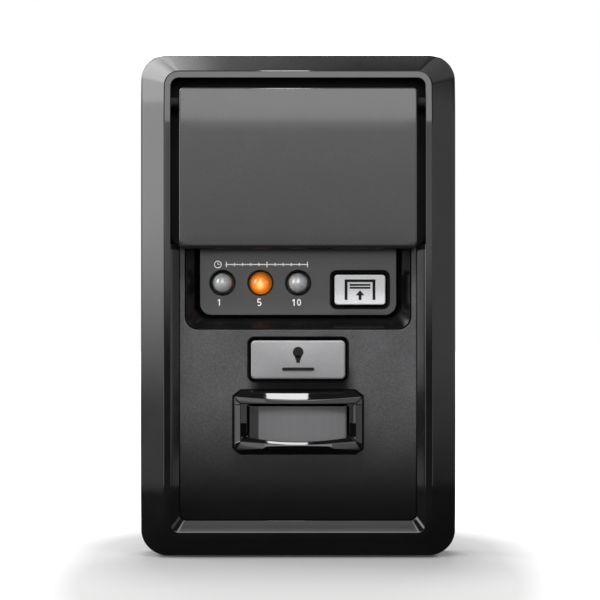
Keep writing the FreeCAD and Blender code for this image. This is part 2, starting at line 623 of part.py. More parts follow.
def front_bezel():
    """The housing: border, ridge, well, bay, timer recess, floors and screw bosses."""
    piece = Piece("front_bezel", form)
    # Seat of the face plate, with the island that carries the timer recess
    piece.pocket(mirrored(WELL_SIDE, f"-{WELL_END}", "bay_low"), "face_corner", FACE_FLOOR, "face_front")
    island = mirrored(f"{RECESS_SIDE} + recess_lip", "recess_low - recess_lip", "bay_low + panel_corner")
    piece.pad(island, "recess_corner + recess_lip", FACE_FLOOR, "face_front")
    top = add_sketch(piece.body, "recess_top", "XZ_Plane", "face_front")
    draw_rounded(top, mirrored(RECESS_SIDE, "recess_low", "bay_low + recess_run"), "recess_corner")
    foot = add_sketch(piece.body, "recess_foot", "XZ_Plane", "timer_front")
    draw_rounded(foot, mirrored(TIMER_SEAT_SIDE, TIMER_SEAT_LOW, "bay_low + recess_run"), "recess_corner")
    piece.taper("SubtractiveLoft", [top, foot])
    piece.pocket(mirrored(TIMER_SEAT_SIDE, TIMER_SEAT_LOW, "bay_low + recess_run"), "recess_corner",
                 BAY_FLOOR, "timer_front")
    # Bay of the push bar
    piece.pocket(mirrored(BAY_SIDE, "bay_low", BAY_END), "well_corner", BAY_FLOOR, f"ridge_front + {PAST}")
    # Hollow back, deeper behind the face
    piece.pocket(mirrored(CAVITY_SIDE, f"-{CAVITY_END}", CAVITY_END), CAVITY_CORNER, "0", BAY_UNDER)
    piece.pocket(mirrored(f"{WELL_SIDE} - hollow_side", f"hollow_end - {WELL_END}",
                          "recess_low - wall_thickness / 2"),
                 "well_corner", BAY_UNDER, FACE_UNDER)
    # Bosses for the rear cover and the board
    piece.discs(CASE_SCREWS, "case_boss", "cover_thickness", BAY_UNDER)
    piece.holes(CASE_SCREWS, "case_screw_radius + running_gap", "cover_thickness", BORE_END)
    piece.discs(UPPER_BOARD_SCREWS, "board_boss", BOARD_FRONT, BAY_UNDER)
    piece.discs(LOWER_BOARD_SCREWS, "board_boss", BOARD_FRONT, FACE_UNDER)
    piece.holes(UPPER_BOARD_SCREWS + LOWER_BOARD_SCREWS, "board_screw_radius + running_gap",
                BOARD_FRONT, BORE_END)
    # Windows for what shows or is pressed
    piece.pocket(around("0", "light_up", "light_width", "light_height", "button_gap"), "light_corner",
                 FACE_UNDER, FACE_FLOOR)
    piece.pocket(lens_box("lens_ledge + hood_neck_wall + fit_gap"), "hood_neck_wall", FACE_UNDER, FACE_FLOOR)
    piece.pocket(around(HOLD_SIDE, "hold_up", "hold_width", "hold_height", "button_gap"), "hold_corner",
                 BAY_UNDER, BAY_FLOOR)
    piece.pocket(around("-setup_spread", SETUP_UP, "lock_width", "lock_height", "button_gap"),
                 "setup_corner", BAY_UNDER, BAY_FLOOR)
    piece.pocket(around("setup_spread", SETUP_UP, "learn_width", "learn_width", "button_gap"),
                 "setup_corner", BAY_UNDER, BAY_FLOOR)
    piece.holes(LAMP_PLACES, "lamp_radius + lamp_flange + button_gap", BAY_UNDER, BAY_FLOOR)
    piece.holes(BAR_SWITCH, "plunger_radius + 2 * button_gap", BAY_UNDER, BAY_FLOOR)
    piece.holes([("0", TOP_HOLE_UP)], "wall_head", BAY_UNDER, BAY_FLOOR)
    # Bearings of the push bar, in both side walls of the bay
    piece.crossbar("Pocket", "hinge_depth", HINGE_UP, "hinge_radius + running_gap",
                   f"2 * ({BAY_SIDE} + hinge_reach + 2 * fit_gap)")


def faceplate():
    """The matt plate in the lower part of the well."""
    piece = Piece("faceplate")
    piece.pad(mirrored(FACE_SIDE, FACE_LOW, FACE_HIGH), "face_corner", FACE_FLOOR, "face_front")
    piece.bow("face_front", -1)
    notch = mirrored(f"{RECESS_SIDE} + recess_lip + fit_gap", "recess_low - recess_lip - fit_gap",
                     "bay_low + panel_corner")
    piece.pocket(notch, "recess_corner + recess_lip", FACE_FLOOR, "face_front")
    piece.pocket(around("0", "light_up", "light_width", "light_height", "light_ring"),
                 "light_corner + light_ring", FACE_FLOOR, "face_front")
    piece.polygon("Pocket", hood_outline("fit_gap"), FACE_FLOOR, "face_front")


def timer_panel():
    """The small plate with the lamps and the hold open button."""
    piece = Piece("timer_panel")
    piece.pad(mirrored(TIMER_SIDE, TIMER_LOW, "timer_high"), "recess_corner", BAY_FLOOR, "timer_front")
    piece.holes(LAMP_PLACES, "lamp_hole", BAY_FLOOR, "timer_front")
    piece.pocket(around(HOLD_SIDE, "hold_up", "hold_width", "hold_height", "hold_ring"),
                 "hold_corner + hold_ring", BAY_FLOOR, "timer_front")


def push_bar():
    """The large door bar: a shallow shell on two hinge stubs, with a boss for the door switch."""
    piece = Piece("push_bar")
    piece.pad(mirrored(BAR_SIDE, "bar_low", BAR_HIGH), "bar_corner", "bar_skirt_back", "bar_front")
    piece.bow("bar_front", 1)
    piece.crossbar("Pad", "hinge_depth", HINGE_UP, "hinge_radius", f"2 * ({BAY_SIDE} + hinge_reach)")
    piece.pocket(mirrored(f"{BAR_SIDE} - bar_wall", "bar_low + bar_wall", f"{BAR_HIGH} - bar_wall"),
                 "bar_corner", "bar_skirt_back", BAR_INSIDE)
    piece.pocket(mirrored(f"{BAR_SIDE} + {PAST}", f"bar_low - {PAST}", "bar_low + bar_lip"), "bar_corner / 2",
                 "bar_skirt_back", BAR_INSIDE)
    boss_back = f"{SWITCH_FRONT} + bar_plunger + bar_boss_gap"
    piece.discs(BAR_SWITCH, "bar_boss_radius", boss_back, BAR_INSIDE)


# Buttons and their switches

def push_switch(label, side, up, plunger):
    """A square switch on the board with its round plunger, as two pieces."""
    centre = [(side, up)]
    bore_back = f"{SWITCH_FRONT} - plunger_inside - button_travel - fit_gap"
    housing = Piece(f"{label}_switch")
    housing.pad(around(side, up, "switch_width", "switch_width"), "fit_gap", BOARD_FRONT, SWITCH_FRONT)
    housing.holes(centre, "plunger_radius + running_gap", bore_back, SWITCH_FRONT)
    stud = Piece(f"{label}_plunger")
    stud.discs(centre, "plunger_radius", f"{SWITCH_FRONT} - plunger_inside", f"{SWITCH_FRONT} + {plunger}")


def push_button(label, place, size, corner, depths, plunger):
    """A hollow cap with a retaining flange and a stem, on its switch."""
    side, up = place
    width, height = size
    back, flange_front, front = depths
    cap = Piece(f"{label}_button")
    cap.pad(around(side, up, width, height), corner, back, front)
    cap.pad(around(side, up, width, height, "flange_width"), corner, back, flange_front)
    cap.pocket(around(side, up, width, height, "-button_wall"), "fit_gap", back, f"{front} - button_wall")
    cap.discs([place], "stem_radius", f"{SWITCH_FRONT} + {plunger}", f"{front} - button_wall")
    push_switch(label, side, up, plunger)


def buttons():
    """The four buttons."""
    low_flange = f"({BAY_UNDER} - fit_gap)"
    high_flange = f"({FACE_UNDER} - fit_gap)"
    push_button("hold_open", (HOLD_SIDE, "hold_up"), ("hold_width", "hold_height"), "hold_corner",
                (LOW_CAP_BACK, low_flange, "hold_front"), "low_plunger")
    push_button("light", ("0", "light_up"), ("light_width", "light_height"), "light_corner",
                (f"({high_flange} - flange_thickness)", high_flange, "light_front"), "tall_plunger")
    push_button("lock", ("-setup_spread", SETUP_UP), ("lock_width", "lock_height"), "setup_corner",
                (LOW_CAP_BACK, low_flange, "setup_front"), "low_plunger")
    push_button("learn", ("setup_spread", SETUP_UP), ("learn_width", "learn_width"), "setup_corner",
                (LOW_CAP_BACK, low_flange, "setup_front"), "low_plunger")
    push_switch("push_bar", "0", "bar_boss_height", "bar_plunger")


# Lamps

def lamps():
    """Three domed lamps on spacers, and their leads through the board."""
    for name, place in zip(LAMPS, LAMP_PLACES):
        lamp = Piece(f"led_{name}")
        lamp.discs([place], "lamp_radius", LAMP_BASE, f"{LAMP_BASE} + lamp_length")
        dome = [f"Edge{index + 1}" for index, edge in enumerate(lamp.body.Shape.Edges)
                if edge.BoundBox.YMax < -value(f"{LAMP_BASE} + lamp_length") + 0.01]
        fillet = lamp.body.newObject("PartDesign::Fillet", lamp.name("dome"))
        fillet.Base = (lamp.body.Group[-2], dome)
        fillet.setExpression("Radius", cells("lamp_radius - fit_gap"))
        doc.recompute([fillet, lamp.body])
        lamp.discs([place], "lamp_radius + lamp_flange", LAMP_BASE, f"{LAMP_BASE} + lamp_flange_thickness")
    spacers = Piece("led_spacers")
    spacers.discs(LAMP_PLACES, "lamp_radius + lamp_flange", BOARD_FRONT, LAMP_BASE)
    spacers.holes(LAMP_PLACES, "lead_spread + 2 * lead_radius", BOARD_FRONT, LAMP_BASE)
    leads = Piece("led_leads")
    leads.discs(LAMP_LEADS, "lead_radius", "board_back - lead_tail", LAMP_BASE)


# Motion sensor

def hood_outline(margin):
    """The hood's outline on the face: a rectangle with cut corners, made larger by a margin."""
    side = f"(hood_width / 2 + {margin})"
    low = f"(hood_up - hood_height / 2 - {margin})"
    high = f"(hood_up + hood_height / 2 + {margin})"
    return octagon(side, low, high, "hood_cut_side", "hood_cut_end")


def octagon(side, low, high, cut_side, cut_end):
    """Corners of a rectangle with cut corners that reaches as far left as right."""
    return [
        (f"{cut_side} - {side}", low), (f"{side} - {cut_side}", low),
        (side, f"{low} + {cut_end}"), (side, f"{high} - {cut_end}"),
        (f"{side} - {cut_side}", high), (f"{cut_side} - {side}", high),
        (f"-{side}", f"{high} - {cut_end}"), (f"-{side}", f"{low} + {cut_end}"),
    ]


def lens_box(margin):
    """Box formulas of the window where the lens sits, made larger by a margin."""
    return (f"-{LENS_SIDE} - ({margin})", f"{LENS_SIDE} + ({margin})",
            f"{LENS_LOW} - ({margin})", f"{LENS_HIGH} + ({margin})")


def pir_hood():
    """The hood: sloped outside, bulged front rim, window with a sloped sill, and a neck with the lens seat."""
    piece = Piece("pir_hood")
    neck_back = f"{FACE_FLOOR} - hood_neck_length"
    piece.polygon("Pad", hood_outline("0"), FACE_FLOOR, "face_front")
    base = add_sketch(piece.body, "hood_base", "XZ_Plane", "face_front")
    draw_polygon(base, hood_outline("0"))
    rim = add_sketch(piece.body, "hood_rim", "XZ_Plane", "hood_front")
    draw_polygon(rim, octagon("(hood_width / 2 - hood_slope_side)",
                              "(hood_up - hood_height / 2 + hood_slope_low)",
                              "(hood_up + hood_height / 2 - hood_slope_top)",
                              "hood_front_cut", "hood_front_cut"))
    piece.taper("AdditiveLoft", [base, rim])
    cut_bulge(piece, "hood_front", "hood_bulge", f"hood_width / 2 + {PAST}", "hood_height")
    piece.pad(lens_box("lens_ledge + hood_neck_wall"), "hood_neck_wall", neck_back, FACE_FLOOR)
    piece.pocket(lens_box("lens_ledge"), "fit_gap", neck_back, "lens_seat")
    mouth = add_sketch(piece.body, "hood_mouth", "XZ_Plane", "hood_front")
    draw_rounded(mouth, mirrored(f"{LENS_SIDE} + hood_inner_slope", MOUTH_LOW, LENS_HIGH), "fit_gap")
    throat = add_sketch(piece.body, "hood_throat", "XZ_Plane", "lens_seat")
    draw_rounded(throat, lens_box("0"), "fit_gap")
    piece.taper("SubtractiveLoft", [mouth, throat])


def cut_bulge(piece, front, radius, side, height):
    """Cut a front to a curve seen from above: middle at the front's depth, sides further back."""
    sketch = add_sketch(piece.body, piece.name("bulge"), "XY_Plane", f"hood_up - ({height})")
    depth = value(front)
    bend = value(radius)
    reach = value(side)
    swing = math.asin(reach / bend)
    drop = bend * math.cos(swing)
    circle = Part.Circle(Vector(0, bend - depth, 0), Vector(0, 0, 1), bend)
    arc = sketch.addGeometry(Part.ArcOfCircle(circle, -math.pi / 2 - swing, -math.pi / 2 + swing), False)
    ahead = f"-({front}) - {PAST}"
    corners = [
        Vector(reach, bend - depth - drop, 0),
        Vector(reach, value(ahead), 0),
        Vector(-reach, value(ahead), 0),
        Vector(-reach, bend - depth - drop, 0),
    ]
    lines = [sketch.addGeometry(Part.LineSegment(first, second), False)
             for first, second in zip(corners, corners[1:])]
    sketch.addConstraint(Sketcher.Constraint("Coincident", arc, 2, lines[0], 1))
    sketch.addConstraint(Sketcher.Constraint("Coincident", lines[0], 2, lines[1], 1))
    sketch.addConstraint(Sketcher.Constraint("Coincident", lines[1], 2, lines[2], 1))
    sketch.addConstraint(Sketcher.Constraint("Coincident", lines[2], 2, arc, 1))
    sketch.addConstraint(Sketcher.Constraint("Vertical", lines[0]))
    sketch.addConstraint(Sketcher.Constraint("Horizontal", lines[1]))
    sketch.addConstraint(Sketcher.Constraint("Vertical", lines[2]))
    bind(sketch, "radius", radius, "Radius", arc)
    bind(sketch, "centre_across", "0", "DistanceX", -1, 1, arc, 3)
    bind(sketch, "centre_along", f"({radius}) - ({front})", "DistanceY", -1, 1, arc, 3)
    bind(sketch, "right", side, "DistanceX", -1, 1, lines[0], 1)
    bind(sketch, "left", f"-({side})", "DistanceX", -1, 1, lines[2], 2)
    bind(sketch, "ahead", ahead, "DistanceY", -1, 1, lines[1], 1)
    piece.extrude("Pocket", sketch, f"2 * ({height})", Reversed=True)


def pir_lens():
    """The bulged lens on its flat flange; its lower end follows the sill."""
    piece = Piece("pir_lens")
    flange_back = "(lens_seat - lens_flange)"
    piece.pad(lens_box("lens_ledge - fit_gap"), "fit_gap", flange_back, "lens_seat")
    foot = add_sketch(piece.body, "lens_foot", "XZ_Plane", "lens_seat")
    draw_rounded(foot, lens_box("-fit_gap"), "fit_gap")
    face = add_sketch(piece.body, "lens_face", "XZ_Plane", "hood_front")
    face_box = mirrored(f"{LENS_SIDE} - fit_gap", f"{MOUTH_LOW} + fit_gap", f"{LENS_HIGH} - fit_gap")
    draw_rounded(face, face_box, "fit_gap")
    piece.taper("AdditiveLoft", [foot, face])
    cut_bulge(piece, "lens_seat + lens_rise", "lens_bulge", f"{LENS_SIDE} + {PAST}", "hood_height")
    # Hollow behind
    hollow = add_sketch(piece.body, "lens_hollow", "XY_Plane", f"{LENS_LOW} + lens_wall")
    draw_hollow(hollow, f"({LENS_SIDE} - lens_wall)", flange_back, "(lens_seat + lens_rise - lens_wall)")
    piece.extrude("Pocket", hollow, f"{LENS_HIGH} - {LENS_LOW} - 2 * lens_wall", Reversed=True)


def draw_hollow(sketch, side, back, front):
    """A flat back and a curved front, seen from above."""
    reach = value(side)
    rear = value(back)
    rise = value(front) - rear
    bend = (reach ** 2 + rise ** 2) / (2 * rise)
    swing = math.asin(reach / bend)
    circle = Part.Circle(Vector(0, bend - rise - rear, 0), Vector(0, 0, 1), bend)
    arc = sketch.addGeometry(Part.ArcOfCircle(circle, -math.pi / 2 - swing, -math.pi / 2 + swing), False)
    chord = sketch.addGeometry(Part.LineSegment(Vector(reach, -rear, 0), Vector(-reach, -rear, 0)), False)
    sketch.addConstraint(Sketcher.Constraint("Coincident", arc, 2, chord, 1))
    sketch.addConstraint(Sketcher.Constraint("Coincident", chord, 2, arc, 1))
    bind(sketch, "right", side, "DistanceX", -1, 1, chord, 1)
    bind(sketch, "left", f"-{side}", "DistanceX", -1, 1, chord, 2)
    bind(sketch, "rear", f"-{back}", "DistanceY", -1, 1, chord, 1)
    bind(sketch, "rear_left", f"-{back}", "DistanceY", -1, 1, chord, 2)
    rise_formula = f"({front} - {back})"
    radius = f"(({side} * {side} + {rise_formula} * {rise_formula}) / (2 * {rise_formula}))"
    bind(sketch, "radius", radius, "Radius", arc)


def motion_sensor():
    """The sensor can on the board, its window and its pins."""
    centre = [("0", SENSOR_UP)]
    can_front = f"({BOARD_FRONT} + sensor_height)"
    can = Piece("pir_sensor_can")
    can.discs(centre, "sensor_radius", BOARD_FRONT, can_front)
    can.discs(centre, "sensor_radius + sensor_flange", BOARD_FRONT, f"{BOARD_FRONT} + sensor_flange")
    window = Piece("pir_sensor_window")
    window.pad(around("0", SENSOR_UP, "sensor_window_width", "sensor_window_height"), "fit_gap",
               can_front, f"{can_front} + sensor_window_thickness")
    pins = Piece("pir_sensor_pins")
    pins.discs(SENSOR_PINS, "lead_radius", "board_back - lead_tail", BOARD_FRONT)


# Board and what is on it

def circuit_board():
    """The board, with its screw, lead and terminal holes."""
    piece = Piece("circuit_board")
    piece.pad(mirrored(BOARD_SIDE, BOARD_LOW, BOARD_HIGH), "board_corner", "board_back", BOARD_FRONT)
    piece.holes(UPPER_BOARD_SCREWS + LOWER_BOARD_SCREWS, "board_screw_radius + 2 * fit_gap",
                "board_back", BOARD_FRONT)
    piece.holes(LAMP_LEADS + SENSOR_PINS, "lead_radius + fit_gap", "board_back", BOARD_FRONT)
    piece.holes(TERMINALS, "terminal_screw_radius + fit_gap", "board_back", BOARD_FRONT)


def board_parts():
    """The parts soldered to the board's front."""
    chip = Piece("microcontroller")
    chip.pad(around(CHIP_SIDE, "hood_up", "chip_width", "chip_width"), "fit_gap",
             BOARD_FRONT, f"{BOARD_FRONT} + chip_height")
    rectifier = Piece("bridge_rectifier")
    rectifier.pad(around(POWER_SIDE, "light_up - power_drop", "rectifier_width", "rectifier_depth"),
                  "fit_gap", BOARD_FRONT, f"{BOARD_FRONT} + rectifier_height")
    capacitor = Piece("storage_capacitor")
    beside_sensor = [(POWER_SIDE, "hood_up - fit_gap - capacitor_radius / 2")]
    capacitor.discs(beside_sensor, "capacitor_radius", BOARD_FRONT, f"{BOARD_FRONT} + capacitor_height")
    resistors = Piece("chip_resistors")
    sketch = add_sketch(resistors.body, "resistor_outlines", "XZ_Plane", BOARD_FRONT)
    for index in range(RESISTORS):
        side = f"{CHIP_SIDE} + {index - RESISTORS / 4} * resistor_pitch"
        draw_rounded(sketch, around(side, "light_up - resistor_pitch", "resistor_width", "resistor_depth"),
                     "fit_gap")
    resistors.extrude("Pad", sketch, "resistor_height")


# Rear cover, terminals and screws

def rear_cover():
    """The flat back: screw recesses, wall screw holes and the opening for the wires."""
    piece = Piece("rear_cover")
    outline = mirrored(f"{CAVITY_SIDE} - cover_gap", f"cover_gap - {CAVITY_END}", f"{CAVITY_END} - cover_gap")
    piece.pad(outline, f"{CAVITY_CORNER} - cover_gap", "0", "cover_thickness")
    piece.holes(CASE_SCREWS, "screw_head + 3 * fit_gap", "0", "screw_sink")
    piece.holes(CASE_SCREWS, "case_screw_radius + 2 * fit_gap", "screw_sink", "cover_thickness")
    piece.holes([("0", TOP_HOLE_UP)], "wall_hole", "0", "cover_thickness")
    piece.holes([("0", KEYHOLE_UP)], "wall_head", "0", "cover_thickness")
    piece.pocket(mirrored("wall_hole", KEYHOLE_UP, f"{KEYHOLE_UP} + keyhole_travel + wall_hole"),
                 "wall_hole - 0.01", "0", "cover_thickness")
    piece.pocket(mirrored("wire_window_half", "wire_window_low", "wire_window_high"), "well_corner",
                 "0", "cover_thickness")


def terminals():
    """Two brass plates behind the board, for the two wires from the door opener."""
    for label, place in zip(("terminal_plate_left", "terminal_plate_right"), TERMINALS):
        plate = Piece(label)
        plate.pad(around(place[0], place[1], "terminal_width", "terminal_depth"), "2 * fit_gap",
                  TERMINAL_BACK, "board_back")
        plate.holes([place], "terminal_screw_radius + running_gap", TERMINAL_BACK, "board_back")


def screw_group(label, places, head, head_thickness, seat, shank, tip):
    """Like screws driven from behind: heads behind the seat, a cross in each, shanks to the tip."""
    piece = Piece(label)
    back = f"({seat} - {head_thickness})"
    piece.discs(places, head, back, seat)
    piece.discs(places, shank, seat, tip)
    reach = f"{CROSS_SHARE} * {head}"
    for width, height in ((reach, "screw_slot"), ("screw_slot", reach)):
        sketch = add_sketch(piece.body, piece.name("cross"), "XZ_Plane", f"{back} + screw_slot")
        for side, up in places:
            draw_rounded(sketch, around(side, up, width, height), "fit_gap")
        piece.extrude("Pocket", sketch, "screw_slot")


def screws():
    """Screws of the rear cover, the board and the wire terminals."""
    screw_group("case_screws", CASE_SCREWS, "screw_head", "screw_head_thickness", "screw_sink",
                "case_screw_radius", f"{BORE_END} - tip_gap")
    screw_group("board_screws", UPPER_BOARD_SCREWS + LOWER_BOARD_SCREWS, "board_screw_head",
                "board_screw_head_thickness", "board_back", "board_screw_radius", f"{BORE_END} - tip_gap")
    screw_group("terminal_screws", TERMINALS, "terminal_head", "terminal_head_thickness",
                TERMINAL_BACK, "terminal_screw_radius", f"{BOARD_FRONT} + terminal_tail")


front_bezel()
faceplate()
timer_panel()
push_bar()
buttons()
lamps()
pir_hood()
pir_lens()
motion_sensor()
circuit_board()
board_parts()
rear_cover()
terminals()
screws()
doc.recompute()

# Check every object, then write the pieces
for item in doc.Objects:
    if "Invalid" in item.State or "Error" in item.State:
        raise RuntimeError(f"{item.Name} failed: {item.State}")
for piece in PIECES:
    shape = piece.body.Shape
    if shape.isNull() or not shape.isValid() or shape.Volume <= 0:
        raise RuntimeError(f"{piece.body.Label} has no valid solid")

os.makedirs("parts", exist_ok=True)
for piece in PIECES:
    shape = piece.body.Shape
    box = shape.BoundBox
    shape.exportStep(f"parts/{piece.body.Label}.step")
    print(f"{piece.body.Label:24} solids {len(shape.Solids)} volume {shape.Volume:9.1f}"
          f" x {box.XMin:6.1f} {box.XMax:6.1f} depth {-box.YMax:5.1f} {-box.YMin:5.1f}"
          f" z {box.ZMin:6.1f} {box.ZMax:6.1f}")
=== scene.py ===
"""Wall control panel of a garage door: looks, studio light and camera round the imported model.

Lengths are millimetres until a mesh is made, and metres in the mesh. A depth is a distance in front of
the wall: a point at depth d has Y = -d. A plan is what the front view shows: right (X) and up (Z).
"""

import logging
import math
from collections.abc import Callable
from dataclasses import dataclass, replace
from enum import Enum, IntEnum

import bpy
import numpy as np
from mathutils.geometry import delaunay_2d_cdt
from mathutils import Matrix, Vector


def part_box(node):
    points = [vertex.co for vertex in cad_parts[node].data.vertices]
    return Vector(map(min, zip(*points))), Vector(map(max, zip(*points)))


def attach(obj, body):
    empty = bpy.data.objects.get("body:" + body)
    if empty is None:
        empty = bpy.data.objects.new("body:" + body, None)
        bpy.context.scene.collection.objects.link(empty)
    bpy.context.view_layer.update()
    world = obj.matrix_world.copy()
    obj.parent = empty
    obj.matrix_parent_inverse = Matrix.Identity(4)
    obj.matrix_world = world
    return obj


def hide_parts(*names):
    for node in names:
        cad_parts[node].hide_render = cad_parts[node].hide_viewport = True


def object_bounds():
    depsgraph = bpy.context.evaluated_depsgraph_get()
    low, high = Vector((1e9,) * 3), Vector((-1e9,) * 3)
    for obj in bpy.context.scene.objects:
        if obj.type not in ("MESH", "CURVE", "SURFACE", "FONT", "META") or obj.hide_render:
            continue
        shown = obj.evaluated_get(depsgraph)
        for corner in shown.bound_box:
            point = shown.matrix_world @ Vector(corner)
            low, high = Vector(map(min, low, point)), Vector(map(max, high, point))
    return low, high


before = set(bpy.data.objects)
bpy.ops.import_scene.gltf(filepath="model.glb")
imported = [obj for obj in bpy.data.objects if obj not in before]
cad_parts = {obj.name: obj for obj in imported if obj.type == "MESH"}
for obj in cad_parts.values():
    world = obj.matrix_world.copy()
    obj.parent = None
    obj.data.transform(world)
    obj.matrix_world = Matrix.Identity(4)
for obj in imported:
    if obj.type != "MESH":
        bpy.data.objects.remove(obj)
CAD_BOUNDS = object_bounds()

logging.basicConfig(level=logging.INFO, format="%(name)s: %(message)s")
LOG = logging.getLogger("panel")

MM = 0.001
HAIR = 0.02
WAVE_SCALE = 3.2

Array = np.ndarray
Pair = tuple[float, float]
Triple = tuple[float, float, float]
Corners = tuple[Pair, ...]
Depth = Callable[[Array], Array]
Socket = bpy.types.NodeSocket


class Body(Enum):
    """The CAD bodies that pieces ride on."""

    HOUSING = "housing"
    PUSH_BAR = "push_bar"
    HOLD_OPEN = "hold_open_button"
    LIGHT = "light_button"
    LOCK = "lock_button"
    LEARN = "learn_button"


# Sizes read from the frame

@dataclass(frozen=True)
class NodeBox:
    """Where a CAD node is, in millimetres."""

    left: float
    right: float
    low: float
    high: float
    back: float
    front: float

    @classmethod
    def of(cls, node: str) -> "NodeBox":
        """The box of a CAD node, with depths in place of Y."""
        near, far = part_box(node)
        return cls(near.x / MM, far.x / MM, near.z / MM, far.z / MM, -far.y / MM, -near.y / MM)

    @property
    def centre(self) -> Pair:
        """The plan centre."""
        return (self.left + self.right) / 2, (self.low + self.high) / 2

    def inner(self, margin: float, more: float = 0.0) -> Pair:
        """Its width and height less a margin on each side, and plus some more there."""
        return self.right - self.left - 2 * margin + 2 * more, self.high - self.low - 2 * margin + 2 * more


@dataclass(frozen=True)
class Bow:
    """The panel's front curves back above and below two heights."""

    start: float = 46.0
    radius: float = 60.0

    def drop(self, height: Array, top: bool = True, bottom: bool = True) -> Array:
        """How far the front lies back: radius minus the root of radius squared less the excess squared.

        Args:
            height: heights above the middle.
            top: whether the curve above the middle counts.
            bottom: whether the curve below the middle counts.

        Returns:
            The drop at each height.
        """
        past = np.zeros_like(height)
        if top:
            past = np.maximum(past, height - self.start)
        if bottom:
            past = np.maximum(past, -height - self.start)
        return self.radius - np.sqrt(self.radius ** 2 - past ** 2)


BOW = Bow()


# Outlines

@dataclass(frozen=True)
class Outline:
    """A closed outline in plan with a unit normal at each point that points out of the material."""

    points: Array
    normals: Array
    starts: tuple[int, ...]

    def inset(self, distance: float | Array) -> Array:
        """The points moved into the material by a distance, which may differ from point to point."""
        return self.points - self.normals * np.reshape(distance, (-1, 1))


def outline(corners: list[Pair], radii: float | list[float], arc: int = 8,
            runs: int | list[int] = 0, hole: bool = False) -> Outline:
    """Round the corners of a polygon.

    Each corner is cut back by its radius times the tangent of half its turn. The arc there turns the
    direction of travel through the corner, and the normal is that direction turned a quarter right.

    Args:
        corners: plan points, anticlockwise.
        radii: one radius, or one for each corner; 0 where the outline runs straight on.
        arc: pieces in each arc.
        runs: points inside each straight run that follows a corner.
        hole: whether the material lies outside.

    Returns:
        The outline, anticlockwise, or clockwise for a hole.
    """
    points = np.array(corners, float)
    count = len(points)
    radius = np.array(np.broadcast_to(np.array(radii, float), (count,)))
    steps = np.array(np.broadcast_to(np.array(runs), (count,)))
    if hole:
        points = points[::-1]
        radius = radius[::-1]
        steps = np.roll(steps[::-1], -1)
    ahead = np.roll(points, -1, axis=0) - points
    out = ahead / np.linalg.norm(ahead, axis=1, keepdims=True)
    into = np.roll(out, 1, axis=0)
    turn = np.arctan2(into[:, 0] * out[:, 1] - into[:, 1] * out[:, 0], np.sum(into * out, axis=1))
    cut = radius * np.tan(np.abs(turn) / 2)
    right = np.column_stack([into[:, 1], -into[:, 0]])
    after = np.column_stack([out[:, 1], -out[:, 0]])
    starts = []
    places = []
    normals = []
    size = 0
    for index in range(count):
        starts.append(size)
        angles = np.linspace(0, turn[index], arc + 1) if radius[index] else np.array([turn[index] / 2])
        wheel = np.column_stack([right[index, 0] * np.cos(angles) - right[index, 1] * np.sin(angles),
                                 right[index, 0] * np.sin(angles) + right[index, 1] * np.cos(angles)])
        side = radius[index] * np.sign(turn[index])
        centre = points[index] - into[index] * cut[index] - right[index] * side
        share = np.arange(1, steps[index] + 1)[:, None] / (steps[index] + 1)
        follower = (index + 1) % count
        first = points[index] + out[index] * cut[index]
        last = points[follower] - out[index] * cut[follower]
        places += [centre + wheel * side, first + (last - first) * share]
        normals += [wheel, np.repeat(after[index:index + 1], steps[index], axis=0)]
        size += len(angles) + int(steps[index])
    return Outline(np.concatenate(places), np.concatenate(normals), tuple(starts))


def rectangle(left: float, right: float, low: float, high: float, radius: float, arc: int = 8,
              runs: int | list[int] = 0, hole: bool = False) -> Outline:
    """A rectangle with round corners, given by its sides."""
    corners = [(left, low), (right, low), (right, high), (left, high)]
    return outline(corners, radius, arc, runs, hole)


def around(centre: Pair, width: float, height: float, radius: float, arc: int = 8,
           runs: int = 0, hole: bool = False) -> Outline:
    """A rectangle with round corners, given by its centre."""
    x, z = centre
    return rectangle(x - width / 2, x + width / 2, z - height / 2, z + height / 2, radius, arc, runs, hole)


def circle(centre: Pair, radius: float, steps: int = 48, hole: bool = False) -> Outline:
    """A circle: the centre plus the radius times the cosine and sine of evenly spaced angles.

    Args:
        centre: its centre in plan.
        radius: its radius.
        steps: points round it.
        hole: whether the material lies outside.

    Returns:
        The outline, anticlockwise, or clockwise for a hole.
    """
    angles = np.linspace(0, 2 * math.pi, steps, endpoint=False)
    wheel = np.column_stack([np.cos(angles), np.sin(angles)])
    sign = 1.0
    if hole:
        wheel = wheel[::-1]
        sign = -1.0
    return Outline(np.array(centre) + wheel * radius, wheel * sign, (0,))


def inside(plan: Array, loops: list[Array]) -> Array:
    """Even-odd test: a point is inside where a line to its right crosses the loops an odd number of times.

    Args:
        plan: the points.
        loops: closed loops of points.

    Returns:
        Whether each point is inside.
    """
    crossings = np.zeros(len(plan), int)
    for loop in loops:
        first = loop[None, :, :]
        last = np.roll(loop, -1, axis=0)[None, :, :]
        point = plan[:, None, :]
        spans = (first[..., 1] > point[..., 1]) != (last[..., 1] > point[..., 1])
        rise = np.where(spans, last[..., 1] - first[..., 1], 1.0)
        meet = first[..., 0] + (point[..., 1] - first[..., 1]) / rise * (last[..., 0] - first[..., 0])
        crossings += np.sum(spans & (point[..., 0] < meet), axis=1)
    return crossings % 2 == 1


def distance_to(plan: Array, loops: list[Array]) -> Array:
    """The least distance from points to segments.

    Args:
        plan: the points.
        loops: closed loops of points, whose neighbours the segments join.

    Returns:
        The distance of each point.
    """
    nearest = np.full(len(plan), np.inf)
    for loop in loops:
        first = loop[None, :, :]
        along = np.roll(loop, -1, axis=0)[None, :, :] - first
        away = plan[:, None, :] - first
        share = np.clip(np.sum(away * along, axis=2) / np.maximum(np.sum(along ** 2, axis=2), 1e-12), 0, 1)
        gap = np.linalg.norm(away - along * share[..., None], axis=2)
        nearest = np.minimum(nearest, gap.min(axis=1))
    return nearest


# Meshes

